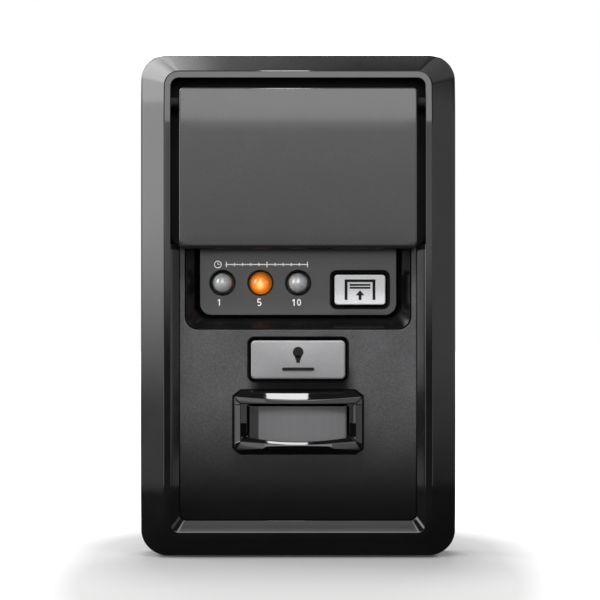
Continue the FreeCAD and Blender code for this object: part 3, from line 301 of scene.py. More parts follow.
class Skin:
    """A mesh under construction, as whole arrays of points and faces."""

    def __init__(self, name: str) -> None:
        """Start an empty skin.

        Args:
            name: the piece's name.
        """
        self.name = name
        self.points: list[Array] = []
        self.faces: list[Array] = []
        self.size = 0

    def add(self, places: Array) -> Array:
        """Add points.

        Args:
            places: the points as right, depth, up.

        Returns:
            Their numbers.
        """
        self.points.append(np.asarray(places, float))
        numbers = np.arange(self.size, self.size + len(places))
        self.size += len(places)
        return numbers

    def row(self, plan: Array, depth: float | Array) -> Array:
        """Add plan points at a depth, or at a depth each, and return their numbers."""
        depths = np.broadcast_to(depth, (len(plan),))
        return self.add(np.column_stack([plan[:, 0], depths, plan[:, 1]]))

    def band(self, rows: list[Array], closed: bool = True) -> None:
        """Join rows of equal length with quads.

        The quad between points i and i+1 of two rows is (row, i), (next row, i), (next row, i+1),
        (row, i+1), which faces out where the material is left of the rows and they go to the back.

        Args:
            rows: the rows' point numbers, front to back.
            closed: whether each row joins its own end.
        """
        for near, far in zip(rows, rows[1:]):
            here = near if closed else near[:-1]
            there = far if closed else far[:-1]
            beside = np.roll(near, -1) if closed else near[1:]
            beyond = np.roll(far, -1) if closed else far[1:]
            self.faces.append(np.column_stack([here, there, beyond, beside]))

    def sweep(self, rows: list[tuple[Array, float | Array]], closed: bool = True) -> list[Array]:
        """Add rows of points, and join them.

        Args:
            rows: plan points with their depths, front to back.
            closed: whether each row joins its own end.

        Returns:
            The rows' point numbers.
        """
        numbers = [self.row(plan, depth) for plan, depth in rows]
        self.band(numbers, closed)
        return numbers

    def fill(self, loops: list[Array], front: bool, depth: Depth | None = None, spacing: float = 0.0) -> None:
        """Close loops with triangles, by a Delaunay mesh of their plan.

        Args:
            loops: the loops' point numbers.
            front: whether the faces look to the front.
            depth: a function of a plan that gives the depth of points added inside.
            spacing: distance between those points, or 0 for none.
        """
        known = np.concatenate(self.points)
        plans = [known[loop][:, [0, 2]] for loop in loops]
        numbers = np.concatenate(loops)
        plan = np.concatenate(plans)
        edges = []
        base = 0
        for loop in loops:
            ring = np.arange(base, base + len(loop))
            edges.append(np.column_stack([ring, np.roll(ring, -1)]))
            base += len(loop)
        if spacing and depth is not None:
            low = plan.min(axis=0)
            high = plan.max(axis=0)
            across = np.arange(low[0] + spacing / 2, high[0], spacing)
            along = np.arange(low[1] + spacing / 2, high[1], spacing)
            grid = np.stack(np.meshgrid(across, along), axis=-1).reshape(-1, 2)
            grid = grid[inside(grid, plans)]
            grid = grid[distance_to(grid, plans) > spacing / 2]
            numbers = np.concatenate([numbers, self.row(grid, depth(grid))])
            plan = np.concatenate([plan, grid])
        made = delaunay_2d_cdt(plan.tolist(), np.concatenate(edges).tolist(), [], 0, 1e-7)
        source = np.array([origin[0] if origin else -1 for origin in made[3]])
        triangles = source[np.array(made[2])]
        triangles = triangles[(triangles >= 0).all(axis=1)]
        triangles = triangles[inside(plan[triangles].mean(axis=1), plans)]
        one, two, three = (plan[triangles[:, index]] for index in range(3))
        turn = np.cross(two - one, three - one)
        flip = (turn > 0) != front
        triangles[flip] = triangles[flip][:, ::-1]
        self.faces.append(numbers[triangles[np.abs(turn) > 1e-9]])

    def revolve(self, centre: Pair, profile: list[Pair], steps: int = 48) -> None:
        """Turn a profile of radii and depths, front to back, round an axis, and close it at both poles."""
        rows = self.sweep([(circle(centre, radius, steps).points, depth) for radius, depth in profile])
        self.close(rows, [(centre[0], depth, centre[1]) for _, depth in (profile[0], profile[-1])])

    def close(self, rows: list[Array], poles: list[Triple]) -> None:
        """Close the first and the last of some closed rows with triangles to a pole each.

        Args:
            rows: the rows' point numbers, front to back.
            poles: the two poles, as right, depth, up.
        """
        for ring, pole, first in ((rows[0], poles[0], True), (rows[-1], poles[1], False)):
            tips = np.repeat(self.add(np.array([pole])), len(ring))
            beside = np.roll(ring, -1)
            self.faces.append(np.column_stack([tips, ring, beside] if first else [tips, beside, ring]))

    def build(self, finish: "Finish", body: Body = Body.HOUSING, stands_for: tuple[str, ...] = (),
              slot: str | None = None) -> bpy.types.Object:
        """Make the object.

        Its vertex normals are the sums of the neighbouring faces' area vectors, so wide faces stay flat
        and the narrow bands between them carry the rounding.

        Args:
            finish: the piece's finish.
            body: the CAD body that it rides on.
            stands_for: CAD nodes that it replaces.
            slot: passed on to place, which does not use it.

        Returns:
            The object, at the origin, with its place in its mesh.
        """
        places = np.concatenate(self.points) * MM
        vertices = np.column_stack([places[:, 0], -places[:, 1], places[:, 2]])
        sums = np.zeros_like(vertices)
        for faces in self.faces:
            corners = vertices[faces]
            # Half the cross product of a quad's diagonals, or of two sides of a triangle, is its area
            crosswise = corners[:, -1] - (corners[:, 1] if faces.shape[1] == 4 else corners[:, 0])
            area = np.cross(corners[:, -2] - corners[:, 0], crosswise)
            for column in range(faces.shape[1]):
                np.add.at(sums, faces[:, column], area)
        lengths = np.linalg.norm(sums, axis=1, keepdims=True)
        normals = sums / np.maximum(lengths, 1e-20)
        mesh = bpy.data.meshes.new(self.name)
        mesh.from_pydata(vertices.tolist(), [], [face for faces in self.faces for face in faces.tolist()])
        mesh.polygons.foreach_set("use_smooth", np.ones(len(mesh.polygons), bool))
        mesh.normals_split_custom_set_from_vertices(normals.tolist())
        return place(mesh, finish, body, stands_for, slot)


def added(name: str, data: bpy.types.ID) -> bpy.types.Object:
    """Put an object into the scene.

    Args:
        name: its name.
        data: its mesh, light or camera.

    Returns:
        The object.
    """
    made = bpy.data.objects.new(name, data)
    bpy.context.scene.collection.objects.link(made)
    return made


def place(mesh: bpy.types.Mesh, finish: "Finish", body: Body, stands_for: tuple[str, ...] = (),
          slot: str | None = None) -> bpy.types.Object:
    """Put a finished mesh into the scene as a piece.

    Args:
        mesh: the mesh, in metres, in the row frame.
        finish: the piece's finish.
        body: the CAD body that it rides on.
        stands_for: CAD nodes that it replaces.
        slot: not used.

    Returns:
        The new object.
    """
    mesh.materials.append(finish.material())
    piece = added(mesh.name, mesh)
    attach(piece, body.value)
    if stands_for:
        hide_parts(*stands_for)
    LOG.info("%s: %d faces on body %s", mesh.name, len(mesh.polygons), body.value)
    return piece


def between(near: float | Array, far: float | Array, share: float | Array) -> Array:
    """The point, or the depth, at a share of the way from near to far."""
    return near + (far - near) * share


def front_edge(loop: Outline, depth: Depth, radius: float | Array,
               steps: int = 4) -> list[tuple[Array, Array]]:
    """Rows that round a front edge.

    At angle t from 0 to a quarter turn the row is inset by radius (1 - sin t) and lies back by
    radius (1 - cos t).

    Args:
        loop: the outline of the wall.
        depth: a function of a plan that gives the front's depth.
        radius: rounding, one number or one for each point.
        steps: pieces in the rounding.

    Returns:
        Rows of plan points with their depths.
    """
    rows = []
    for angle in np.linspace(0, math.pi / 2, steps + 1):
        plan = loop.inset(radius * (1 - math.sin(angle)))
        rows.append((plan, depth(plan) - radius * (1 - math.cos(angle))))
    return rows


def back_edge(loop: Outline, back: float, radius: float, steps: int = 2) -> list[tuple[Array, float]]:
    """Rows that round a back edge, as front_edge does from the other side."""
    return [(loop.inset(radius * (1 - math.cos(angle))), back + radius * (1 - math.sin(angle)))
            for angle in np.linspace(0, math.pi / 2, steps + 1)]


def slab(skin: Skin, loops: list[Outline], depth: Depth | float, back: float,
         edge: float | list[float | Array] = 0.15, back_radius: float = 0.08, spacing: float = 0.0,
         steps: int = 3) -> None:
    """A plate with rounded edges: walls along its outlines, closed at the front and the back.

    Args:
        skin: the skin that it is added to.
        loops: its outline and the outlines of its holes.
        depth: a function of a plan that gives the front's depth, or one depth.
        back: depth of the back.
        edge: rounding of the front edges, one for all or one for each outline.
        back_radius: rounding of the back edges.
        spacing: distance between extra points in a curved front.
        steps: pieces in each front rounding.
    """
    front = depth if callable(depth) else (lambda plan: np.full(len(plan), float(depth)))
    radii = edge if isinstance(edge, list) else [edge] * len(loops)
    first = []
    last = []
    for loop, radius in zip(loops, radii):
        rows = skin.sweep([*front_edge(loop, front, radius, steps), *back_edge(loop, back, back_radius)])
        first.append(rows[0])
        last.append(rows[-1])
    skin.fill(first, True, front, spacing)
    skin.fill(last, False)


def shifted(corners: Corners, centre: Pair) -> list[Pair]:
    """Corners given from a centre, as plan points."""
    return [(centre[0] + x, centre[1] + z) for x, z in corners]


def printed(skin: Skin, shapes: list[list[Outline]], face: float, root: float = 0.0) -> None:
    """Ink a hair in front of a face, as layers with holes, whose root reaches into the face."""
    for loops in shapes:
        slab(skin, loops, face + HAIR, face - root, edge=0.005, back_radius=0.004, steps=1)


def loose_triangles(node: str) -> Array:
    """The triangles of a CAD node.

    Args:
        node: the node's name.

    Returns:
        Three corner points for each, in metres.
    """
    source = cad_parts[node].data
    points = np.zeros(len(source.vertices) * 3)
    source.vertices.foreach_get("co", points)
    source.calc_loop_triangles()
    numbers = np.zeros(len(source.loop_triangles) * 3, int)
    source.loop_triangles.foreach_get("vertices", numbers)
    return points.reshape(-1, 3)[numbers.reshape(-1, 3)]


# Finishes

class Nodes:
    """A node tree, with short ways to add and join nodes."""

    def __init__(self, owner: bpy.types.Material | bpy.types.World) -> None:
        """Start an empty tree.

        Args:
            owner: the material or world whose tree it is.
        """
        owner.use_nodes = True
        self.tree = owner.node_tree
        self.tree.nodes.clear()
        coordinates = self.node("TexCoord")
        self.place = coordinates.outputs["Object"]
        self.direction = coordinates.outputs["Generated"]

    def link(self, sources: dict[str | int, Socket | float | tuple], node: bpy.types.Node) -> None:
        """Give inputs of a node their sources.

        Args:
            sources: a socket, a number or a colour for each input, by its name or number.
            node: the node.
        """
        for name, source in sources.items():
            if isinstance(source, Socket):
                self.tree.links.new(source, node.inputs[name])
            else:
                node.inputs[name].default_value = source

    def node(self, kind: str, sources: dict[str | int, Socket | float | tuple] | None = None,
             **settings: str) -> bpy.types.Node:
        """Add a node.

        Args:
            kind: its type, without the two words that all types begin with.
            sources: the sources of its inputs, by name or number.
            settings: its settings, by name.

        Returns:
            The node.
        """
        made = self.tree.nodes.new("ShaderNode" + kind)
        for name, setting in settings.items():
            setattr(made, name, setting)
        self.link(sources or {}, made)
        return made

    def split(self, vector: Socket) -> tuple[Socket, Socket, Socket]:
        """A vector's parts along X, Y and Z."""
        return tuple(self.node("SeparateXYZ", {0: vector}).outputs)

    def spot(self) -> tuple[Socket, Socket, Socket]:
        """The place on the object as side, depth and height, in millimetres."""
        across, ahead, up = self.split(self.place)
        return self.math("DIVIDE", across, MM), self.math("DIVIDE", ahead, -MM), self.math("DIVIDE", up, MM)

    def stretched(self, scale: Triple) -> Socket:
        """The place on the object, scaled along each axis."""
        return self.node("Mapping", {"Scale": scale, "Vector": self.place}).outputs["Vector"]

    def noise(self, size: float, detail: float = 2.0, place: Socket | None = None,
              roughness: float = 0.5) -> Socket:
        """Noise whose lumps are about a size in millimetres across."""
        sources = {"Scale": 1 / (size * MM), "Detail": detail, "Roughness": roughness}
        return self.node("TexNoise", {**sources, "Vector": place or self.place}).outputs["Fac"]

    def math(self, operation: str, first: Socket | float, second: Socket | float = 0.0) -> Socket:
        """Arithmetic on sockets or numbers."""
        return self.node("Math", {0: first, 1: second}, operation=operation).outputs["Value"]

    def product(self, first: Socket | float, *factors: Socket | float) -> Socket:
        """The product of sockets and numbers.

        Args:
            first: the first factor.
            factors: the others.

        Returns:
            The product.
        """
        for factor in factors:
            first = self.math("MULTIPLY", first, factor)
        return first

    def length(self, first: Socket, second: Socket) -> Socket:
        """The root of the sum of two squares."""
        return self.math("SQRT", self.math("ADD", self.product(first, first), self.product(second, second)))

    def spread(self, source: Socket, low: float, high: float, start: float = 0.25,
               end: float = 0.75) -> Socket:
        """Stretch a value between two ends of its range to run smoothly from low to high."""
        sources = {"Value": source, "From Min": start, "From Max": end, "To Min": low, "To Max": high}
        return self.node("MapRange", sources, interpolation_type="SMOOTHSTEP").outputs["Result"]

    def window(self, source: Socket, rise: Pair, fall: Pair, low: float = 0.0) -> Socket:
        """A share that rises from low to 1 over one range of a value and falls back over another."""
        return self.product(self.spread(source, low, 1, *rise), self.spread(source, 1, low, *fall))

    def blend(self, share: Socket, first: Triple, second: Triple) -> Socket:
        """A colour between two, by a share."""
        return self.node("Mix", {0: share, 6: (*first, 1), 7: (*second, 1)}, data_type="RGBA").outputs[2]

    def scaled(self, colour: Socket, share: Socket) -> Socket:
        """A colour times a share."""
        return self.node("VectorMath", {0: colour, "Scale": share}, operation="SCALE").outputs[0]

    def bump(self, height: Socket, distance: float, before: Socket | None = None) -> Socket:
        """Bump of a height in millimetres for a full step of the value."""
        below = {} if before is None else {"Normal": before}
        return self.node("Bump", {"Distance": distance * MM, "Height": height, **below}).outputs["Normal"]


class Surface(Nodes):
    """A material's node tree with its shader."""

    def __init__(self, name: str) -> None:
        """Start a material.

        Args:
            name: the material's name.
        """
        self.material = bpy.data.materials.new(name)
        super().__init__(self.material)
        self.shader = self.node("BsdfPrincipled")
        self.node("OutputMaterial", {"Surface": self.shader.outputs["BSDF"]})

    def shade(self, sources: dict[str, Socket | float | tuple]) -> None:
        """Give inputs of the shader their sources, by name."""
        self.link(sources, self.shader)

    def colour(self) -> Socket:
        """What the shader's colour comes from so far."""
        return self.shader.inputs["Base Color"].links[0].from_socket


@dataclass(frozen=True)
class Finish:
    """Moulded plastic: a colour that wanders a little, a roughness that wanders, and a fine grain."""

    name: str
    colour: Triple
    roughness: float
    metallic: float = 0.0
    specular: float = 0.5
    coat: float = 0.0
    wander: float = 0.12
    wander_size: float = 9.0
    smear: float = 0.03
    smear_size: float = 0.6
    smear_ramp: Pair = (0.35, 0.8)
    grain: float = 0.0
    grain_size: float = 0.3
    speck: float = 0.6
    speck_size: float = 1.7
    speck_ramp: Pair = (0.3, 0.7)
    wave: float = 0.0
    wave_size: float = 18.0

    def material(self) -> bpy.types.Material:
        """The material, made once."""
        return bpy.data.materials.get(self.name) or self.made()

    def made(self) -> bpy.types.Material:
        """Make the material.

        Returns:
            The material.
        """
        nodes = Surface(self.name)
        smear = nodes.noise(self.wander_size * self.smear_size, 5.0, roughness=0.6)
        nodes.shade({
            "Metallic": self.metallic,
            "Specular IOR Level": self.specular,
            "Coat Weight": self.coat,
            "Coat Roughness": self.roughness / 3,
            "Base Color": nodes.blend(self.cloud(nodes), *self.tints(1 - self.wander, 1 + self.wander)),
            "Roughness": nodes.spread(smear, self.roughness, self.roughness + self.smear, *self.smear_ramp),
        })
        if self.wave or self.grain:
            nodes.shade({"Normal": self.relief(nodes)})
        self.dress(nodes)
        return nodes.material

    def cloud(self, nodes: Nodes) -> Socket:
        """The share of the lighter tint: a slow noise, and specks where there is a grain.

        Args:
            nodes: the material's nodes.

        Returns:
            The share.
        """
        share = nodes.spread(nodes.noise(self.wander_size, 4.0), 0.0, 1.0)
        if not self.grain:
            return share
        speck = nodes.spread(nodes.noise(self.grain_size * self.speck_size, 2.0), 0.0, 1.0, *self.speck_ramp)
        return nodes.math("ADD", nodes.product(share, 1 - self.speck), nodes.product(speck, self.speck))

    def relief(self, nodes: Nodes) -> Socket:
        """Bumps of the slow wave and the grain.

        Args:
            nodes: the material's nodes.

        Returns:
            The normal.
        """
        normal = None
        if self.wave:
            normal = nodes.bump(nodes.noise(self.wave_size, 0.0), self.wave)
        if self.grain:
            normal = nodes.bump(nodes.noise(self.grain_size, 2.0), self.grain, normal)
        return normal

    def tints(self, darker: float, lighter: float, lift: float = 0.0) -> tuple[Triple, Triple]:
        """The colour times two factors, the second with a lift and at most white."""
        return (tuple(part * darker for part in self.colour),
                tuple(min(part * lighter + lift, 1.0) for part in self.colour))

    def dress(self, nodes: Nodes) -> None:
        """Add what a kind of finish has beyond plain plastic."""


@dataclass(frozen=True)
class PlateWithPaintedShade(Finish):
    """Grained plastic, darker towards its lower end as painted shade, with a painted shadow under the light
    button.
    """

    # Heights over which the painted shade darkens the plate towards its lower end
    painted_fade: Pair = (-47.5, -23.0)
    darkest: float = 0.05
    # Painted shadow under the light button: its strength, then its ramps across and up
    shade: float = 0.85
    shade_left: Pair = (-14.0, -9.5)
    shade_right: Pair = (11.5, 15.5)
    shade_low: Pair = (-24.5, -21.5)
    shade_high: Pair = (-18.5, -14.5)

    def dress(self, nodes: Nodes) -> None:
        """Painted shade: multiply the colour by a share that falls from 1 to the darkest between two heights.

        The painted shadow under the light button is the product of four ramps; it takes gloss as well as
        colour.

        Args:
            nodes: the material's nodes.
        """
        side, _, height = nodes.spot()
        painted_shadow = nodes.product(nodes.window(side, self.shade_left, self.shade_right),
                               nodes.window(height, self.shade_low, self.shade_high), self.shade)
        unshaded = nodes.math("SUBTRACT", 1.0, painted_shadow)
        share = nodes.product(nodes.spread(height, self.darkest, 1.0, *self.painted_fade), unshaded)
        nodes.shade({
            "Base Color": nodes.scaled(nodes.colour(), share),
            "Specular IOR Level": nodes.product(unshaded, self.specular),
        })


@dataclass(frozen=True)
class CapWithPaintedShade(Finish):
    """A painted cap, darkened a little behind the front's rounding as painted shade of the gap round it."""

    shade_depth: float = 0.0
    shade_ramp: Pair = (-0.4, -0.1)
    in_shade: float = 0.02

    def dress(self, nodes: Nodes) -> None:
        """Painted shade: multiply the colour by a share that rises from its least to 1 just behind the
        front's rounding.

        Args:
            nodes: the material's nodes.
        """
        _, depth, _ = nodes.spot()
        in_shade, full = (self.shade_depth + end for end in self.shade_ramp)
        share = nodes.spread(depth, self.in_shade, 1.0, in_shade, full)
        nodes.shade({
            "Base Color": nodes.scaled(nodes.colour(), share),
            "Specular IOR Level": nodes.product(share, self.specular),
            "Metallic": nodes.product(share, self.metallic),
        })


@dataclass(frozen=True)
class Brushed(Finish):
    """Metal with fine drawn lines along one direction."""

    stretch: Triple = (1.0, 1.0, 12.0)
    line: float = 0.72
    line_relief: float = 0.004
    line_ramp: Pair = (0.3, 0.7)
    dullest: float = 1.4
    brightest: float = 0.7

    def dress(self, nodes: Nodes) -> None:
        """Lines from noise that is stretched along the metal.

        Args:
            nodes: the material's nodes.
        """
        lines = nodes.noise(self.line, 3.0, nodes.stretched(self.stretch))
        nodes.shade({
            "Roughness": nodes.spread(lines, self.roughness * self.brightest, self.roughness * self.dullest,
                                      *self.line_ramp),
            "Normal": nodes.bump(lines, self.line_relief),
        })


@dataclass(frozen=True)
class MilkyLens(Finish):
    """Thin milky plastic with faint upright bands, darker at its ends, and painted shade to the left and at
    the top.
    """

    band: float = 2.1
    band_share: float = 0.3
    cloud_size: float = 6.0
    contrast: Pair = (0.92, 1.06)
    band_relief: float = 0.002
    end_shade: float = 0.1
    left_darkening: Pair = (-10.3, -9.8)
    right_darkening: Pair = (11.4, 12.9)
    # Painted shade: darker towards the left
    lean: Pair = (-11.0, 2.0)
    lean_shade: float = 0.86
    # Painted shadow of the rim's top bar on the lens
    brow: Pair = (-28.6, -25.4)
    brow_shade: float = 0.25

    def dress(self, nodes: Nodes) -> None:
        """Bands from a wave along X, darker ends, and painted shade: towards the left, and a painted shadow
        at the top.

        Args:
            nodes: the material's nodes.
        """
        sources = {"Scale": 1 / (self.band * MM) / WAVE_SCALE, "Distortion": 0.0, "Vector": nodes.place}
        wave = nodes.node("TexWave", sources, wave_type="BANDS", bands_direction="X", wave_profile="SIN")
        share = nodes.math("ADD", nodes.product(wave.outputs["Fac"], self.band_share),
                           nodes.product(nodes.noise(self.cloud_size, 2.0), 1 - self.band_share))
        side, _, height = nodes.spot()
        shade = nodes.product(nodes.window(side, self.left_darkening, self.right_darkening, self.end_shade),
                              nodes.spread(side, self.lean_shade, 1.0, *self.lean),
                              nodes.spread(height, 1.0, self.brow_shade, *self.brow))
        nodes.shade({
            "Base Color": nodes.scaled(nodes.blend(share, *self.tints(*self.contrast)), shade),
            "Normal": nodes.bump(wave.outputs["Fac"], self.band_relief),
        })


@dataclass(frozen=True)
class LitLamp(Finish):
    """A lamp that is on: brightest round the die in its middle, deeper in colour at its sides."""

    centre: Pair = (0.0, 0.0)
    core: Triple = (1.0, 0.72, 0.22)
    core_reach: Pair = (0.1, 1.5)
    core_drop: float = 0.6
    shell: Triple = (0.78, 0.20, 0.012)
    rim: float = 0.32
    rim_reach: Pair = (1.3, 2.9)

    def dress(self, nodes: Nodes) -> None:
        """Glow by the distance from the die, a little below the lamp's axis.

        Args:
            nodes: the material's nodes.
        """
        side, _, height = nodes.spot()
        away = nodes.length(nodes.math("SUBTRACT", side, self.centre[0]),
                            nodes.math("SUBTRACT", height, self.centre[1] - self.core_drop))
        nodes.shade({
            "Emission Color": nodes.blend(nodes.spread(away, 0, 1, *self.core_reach), self.core, self.shell),
            "Emission Strength": nodes.spread(away, 1.0, self.rim, *self.rim_reach),
        })


@dataclass(frozen=True)
class Board(Finish):
    """A green circuit board with copper tracks under the lacquer."""

    pitch: float = 1.27
    fold: float = 7.0
    jog: Pair = (2.0, 4.54)
    patch: float = 6.0
    patch_end: Pair = (0.44, 0.45)
    track_half: Pair = (0.16, 0.2)
    track_relief: float = 0.03
    track_tint: Triple = (1.0, 2.1, 0.02)

    def dress(self, nodes: Nodes) -> None:
        """Parallel tracks that jog over at 45 degrees and end where a noise is low.

        A track is where the height, plus the folded and clipped side, is half a pitch off a whole one.

        Args:
            nodes: the material's nodes.
        """
        side, _, height = nodes.spot()
        folded = nodes.math("PINGPONG", side, self.fold)
        jog = nodes.math("MINIMUM", nodes.math("MAXIMUM", folded, self.jog[0]), self.jog[1])
        lane = nodes.math("FRACT", nodes.math("DIVIDE", nodes.math("ADD", height, jog), self.pitch))
        off = nodes.math("ABSOLUTE", nodes.math("SUBTRACT", lane, 0.5))
        track = nodes.product(nodes.spread(off, 1.0, 0.0, *self.track_half),
                              nodes.spread(nodes.noise(self.patch, 0.0), 0.0, 1.0, *self.patch_end))
        nodes.shade({
            "Base Color": nodes.blend(track, *self.tints(*self.track_tint)),
            "Normal": nodes.bump(track, self.track_relief),
        })


HOUSING = Finish("gloss_black_plastic", (0.0035, 0.0035, 0.0038), 0.06, smear=0.03, wave=0.004, wander=0.2)
HOOD = Finish("polished_black_plastic", (0.002, 0.002, 0.0022), 0.025, smear=0.01, wander=0.2)
RECESS = Finish("satin_black_plastic", (0.002, 0.002, 0.0022), 0.16, specular=0.2, smear=0.02, wander=0.2)
INSIDE = Finish("dull_black_plastic", (0.004, 0.004, 0.004), 0.6, specular=0.12, grain=0.01, wander=0.3)
# The face plate's finish, with painted shade towards its foot and a painted shadow under the light button
FACE = PlateWithPaintedShade("matt_black_plastic", (0.041, 0.041, 0.0425), 0.34, specular=0.18, grain=0.02,
                  grain_size=0.28, wander=0.3)
BAR = Finish("satin_charcoal_plastic", (0.013, 0.013, 0.0138), 0.13, smear=0.02, grain=0.0006,
             grain_size=0.25, wander=0.08)
TIMER = Finish("satin_panel_plastic", (0.030, 0.030, 0.031), 0.3, grain=0.002, grain_size=0.25, wander=0.1)
# Both painted caps are darkened behind their front's rounding, as painted shade in the gap round them
LIGHT_CAP = CapWithPaintedShade("grey_paint", (0.162, 0.162, 0.166), 0.33, metallic=0.15, grain=0.002, grain_size=0.2)
HOLD_CAP = CapWithPaintedShade("silver_paint", (0.42, 0.42, 0.43), 0.3, metallic=0.1, grain=0.002, grain_size=0.2)
SETUP_CAP = Finish("amber_cap_plastic", (0.50, 0.22, 0.03), 0.35, grain=0.004, grain_size=0.3)
LENS = MilkyLens("milky_lens_plastic", (0.077, 0.077, 0.080), 0.28)
LAMP_OFF = Finish("clear_lamp_resin", (0.29, 0.29, 0.30), 0.06, coat=1.0, wander=0.25, wander_size=2.0)
LAMP_ON = LitLamp("amber_lamp_resin", (0.25, 0.07, 0.008), 0.08, coat=0.6)
COVER = Finish("black_back_plastic", (0.028, 0.028, 0.03), 0.5, grain=0.02, grain_size=0.5, wander=0.3)
BOARD = Board("green_board", (0.012, 0.10, 0.035), 0.35)
CHIP = Finish("chip_resin", (0.02, 0.02, 0.022), 0.55, grain=0.01, grain_size=0.15)
STEEL = Brushed("plated_steel", (0.55, 0.55, 0.56), 0.3, metallic=1.0)
SCREW = Brushed("zinc_screw", (0.48, 0.48, 0.46), 0.34, metallic=1.0, stretch=(1, 1, 1))
BRASS = Brushed("brass", (0.66, 0.47, 0.18), 0.3, metallic=1.0)
TIN = Brushed("tinned_wire", (0.62, 0.62, 0.60), 0.28, metallic=1.0)
DARK = Finish("dark_window", (0.008, 0.008, 0.01), 0.12)
SHADOW = Finish("deep_black", (0.002, 0.002, 0.002), 0.7, specular=0.0)
WHITE_INK = Finish("white_ink", (0.80, 0.80, 0.80), 0.5, wander=0.04, wander_size=2.0)
BLACK_INK = Finish("black_ink", (0.010, 0.010, 0.010), 0.6, specular=0.04, wander=0.1, wander_size=2.0)


# Housing

class Station(IntEnum):
    """Columns of a station of the housing's section; the last is its share of the bow."""

    SIDE = 0
    END = 1
    CORNER = 2
    DEPTH = 3
    BOWED = 4


@dataclass
class Housing:
    """The glossy outer shell: wall, sloped border, bowed ridge, well slope and bay walls."""

    rim_front: float = 14.0
    corner: float = 6.7
    ridge_corner: float = 3.8
    border: Pair = (6.2, 4.75)
    ridge: Pair = (1.7, 1.8)
    slope: Pair = (2.1, 2.9)
    brim: float = 0.4
    well_corner: float = 2.0
    face_corner: float = 1.5
    slope_foot: float = 16.0
    face_front: float = 15.6
    face_floor: float = 14.2
    timer_front: float = 12.8
    bay_floor: float = 11.3
    bay_under: float = 9.4
    bay_low: float = 15.5
    recess: Pair = (28.5, -5.85)
    recess_run: float = 3.2
    recess_corner: float = 3.0
    recess_lip: float = 0.3
    recess_edge: Pair = (0.12, 0.1)
    wall: float = 2.4
    arc: int = 24
    runs: tuple[int, ...] = (30, 34, 24, 30, 24, 34)
    recess_runs: tuple[int, ...] = (30, 12, 0, 12)
    outside_cuts: tuple[float, ...] = (0, 0.35, 0.5, 0.28)
    well_cuts: tuple[float, ...] = (0, 0.22, 0.12)
    bay_cuts: tuple[float, ...] = (0, 0.22)
    sharp_angle: float = 25.0

    def __post_init__(self) -> None:
        """Take the outer size from the frame."""
        box = NodeBox.of("front_bezel")
        self.half_width = box.right
        self.half_height = box.high
        self.ridge_front = box.front

    def ring(self, station: Array) -> Outline:
        """The outline at one station of the section.

        Args:
            station: insets at the sides and ends, corner radius, depth and share of bow.

        Returns:
            A rounded rectangle with a point on each side at the bay's lower end.
        """
        side = self.half_width - station[Station.SIDE]
        end = self.half_height - station[Station.END]
        radius = station[Station.CORNER]
        corners = [(-side, -end), (side, -end), (side, self.bay_low), (side, end), (-side, end),
                   (-side, self.bay_low)]
        return outline(corners, [radius, radius, 0, radius, radius, 0], self.arc, list(self.runs))

    def rows(self, skin: Skin, stations: list[Array]) -> list[Array]:
        """Add a row for each station; its depth is the station's less the bow at each point's height.

        Args:
            skin: the skin that they are added to.
            stations: the section's stations.

        Returns:
            The rows' point numbers.
        """
        made = []
        for station in stations:
            plan = self.ring(station).points
            bow = BOW.drop(plan[:, 1]) * station[Station.BOWED]
            made.append(skin.row(plan, station[Station.DEPTH] - bow))
        return made

    @staticmethod
    def softened(stations: list[tuple], cuts: tuple[float, ...], steps: int = 5,
                 spans: int = 1) -> list[Array]:
        """Round the section at its inner stations.

        Each is replaced by a quadratic curve from a point a cut before it to one a cut after it, with
        the station as its control point.

        Args:
            stations: the section's stations.
            cuts: how far each rounding reaches, 0 for none.
            steps: points in each rounding.
            spans: pieces in each stretch between roundings.

        Returns:
            The stations of the rounded section.
        """
        section = [np.array(station, float) for station in stations]
        share = np.linspace(0, 1, steps)[:, None]
        knots = [[section[0]]]
        for before, here, after, cut in zip(section, section[1:], section[2:], cuts[1:]):
            ends = []
            for way in (before - here, after - here):
                ends.append(here + way * min(cut / np.hypot(way[Station.SIDE], way[Station.DEPTH]), 0.49))
            curve = (1 - share) ** 2 * ends[0] + 2 * share * (1 - share) * here + share ** 2 * ends[1]
            knots.append(list(curve))
        knots.append([section[-1]])
        made = list(knots[0])
        for near, far in zip(knots, knots[1:]):
            made += [near[-1] + (far[0] - near[-1]) * part / spans for part in range(1, spans)]
            made += far
        return made

    def build(self) -> None:
        """Build the shell and what lies inside it."""
        skin = Skin("housing_shell")
        wall = self.wall
        crest = self.border
        brink = (crest[0] + self.ridge[0], crest[1] + self.ridge[1])
        foot = (brink[0] + self.slope[0], brink[1] + self.slope[1])
        brim = self.brim
        ledge = (brink[0] - brim, brink[1] - brim, self.well_corner + brim, self.ridge_front, 1)
        outside = [
            (wall, wall, self.corner - wall, 0, 0),
            (0, 0, self.corner, 0, 0),
            (0, 0, self.corner, self.rim_front, 1),
            (*crest, self.ridge_corner, self.ridge_front, 1),
            ledge,
        ]
        # Rows run from the back round to the front, so they are joined in the other order
        rows = self.rows(skin, self.softened(outside, self.outside_cuts, spans=6))
        skin.band(rows[::-1])
        starts = self.ring(np.array(ledge)).starts
        lower = np.r_[starts[5]:len(rows[-1]), 0:starts[2] + 1]
        upper = np.r_[starts[2]:starts[5] + 1]
        edge = (*brink, self.well_corner, self.ridge_front, 1)
        well = [ledge, edge, (*foot, self.face_corner, self.slope_foot, 1),
                (*foot, self.face_corner, self.face_floor, 0)]
        bay = [ledge, edge, (*brink, self.well_corner, self.bay_floor, 0)]
        for stations, part, cuts in ((well, lower, self.well_cuts), (bay, upper, self.bay_cuts)):
            inner = [row[part] for row in self.rows(skin, self.softened(stations, cuts, spans=3)[1:])]
            skin.band([rows[-1][part], *inner][::-1], closed=False)
        skin.build(HOUSING, stands_for=("front_bezel",), slot="housing_gloss")
        self.timer_recess()
        self.inside(brink)

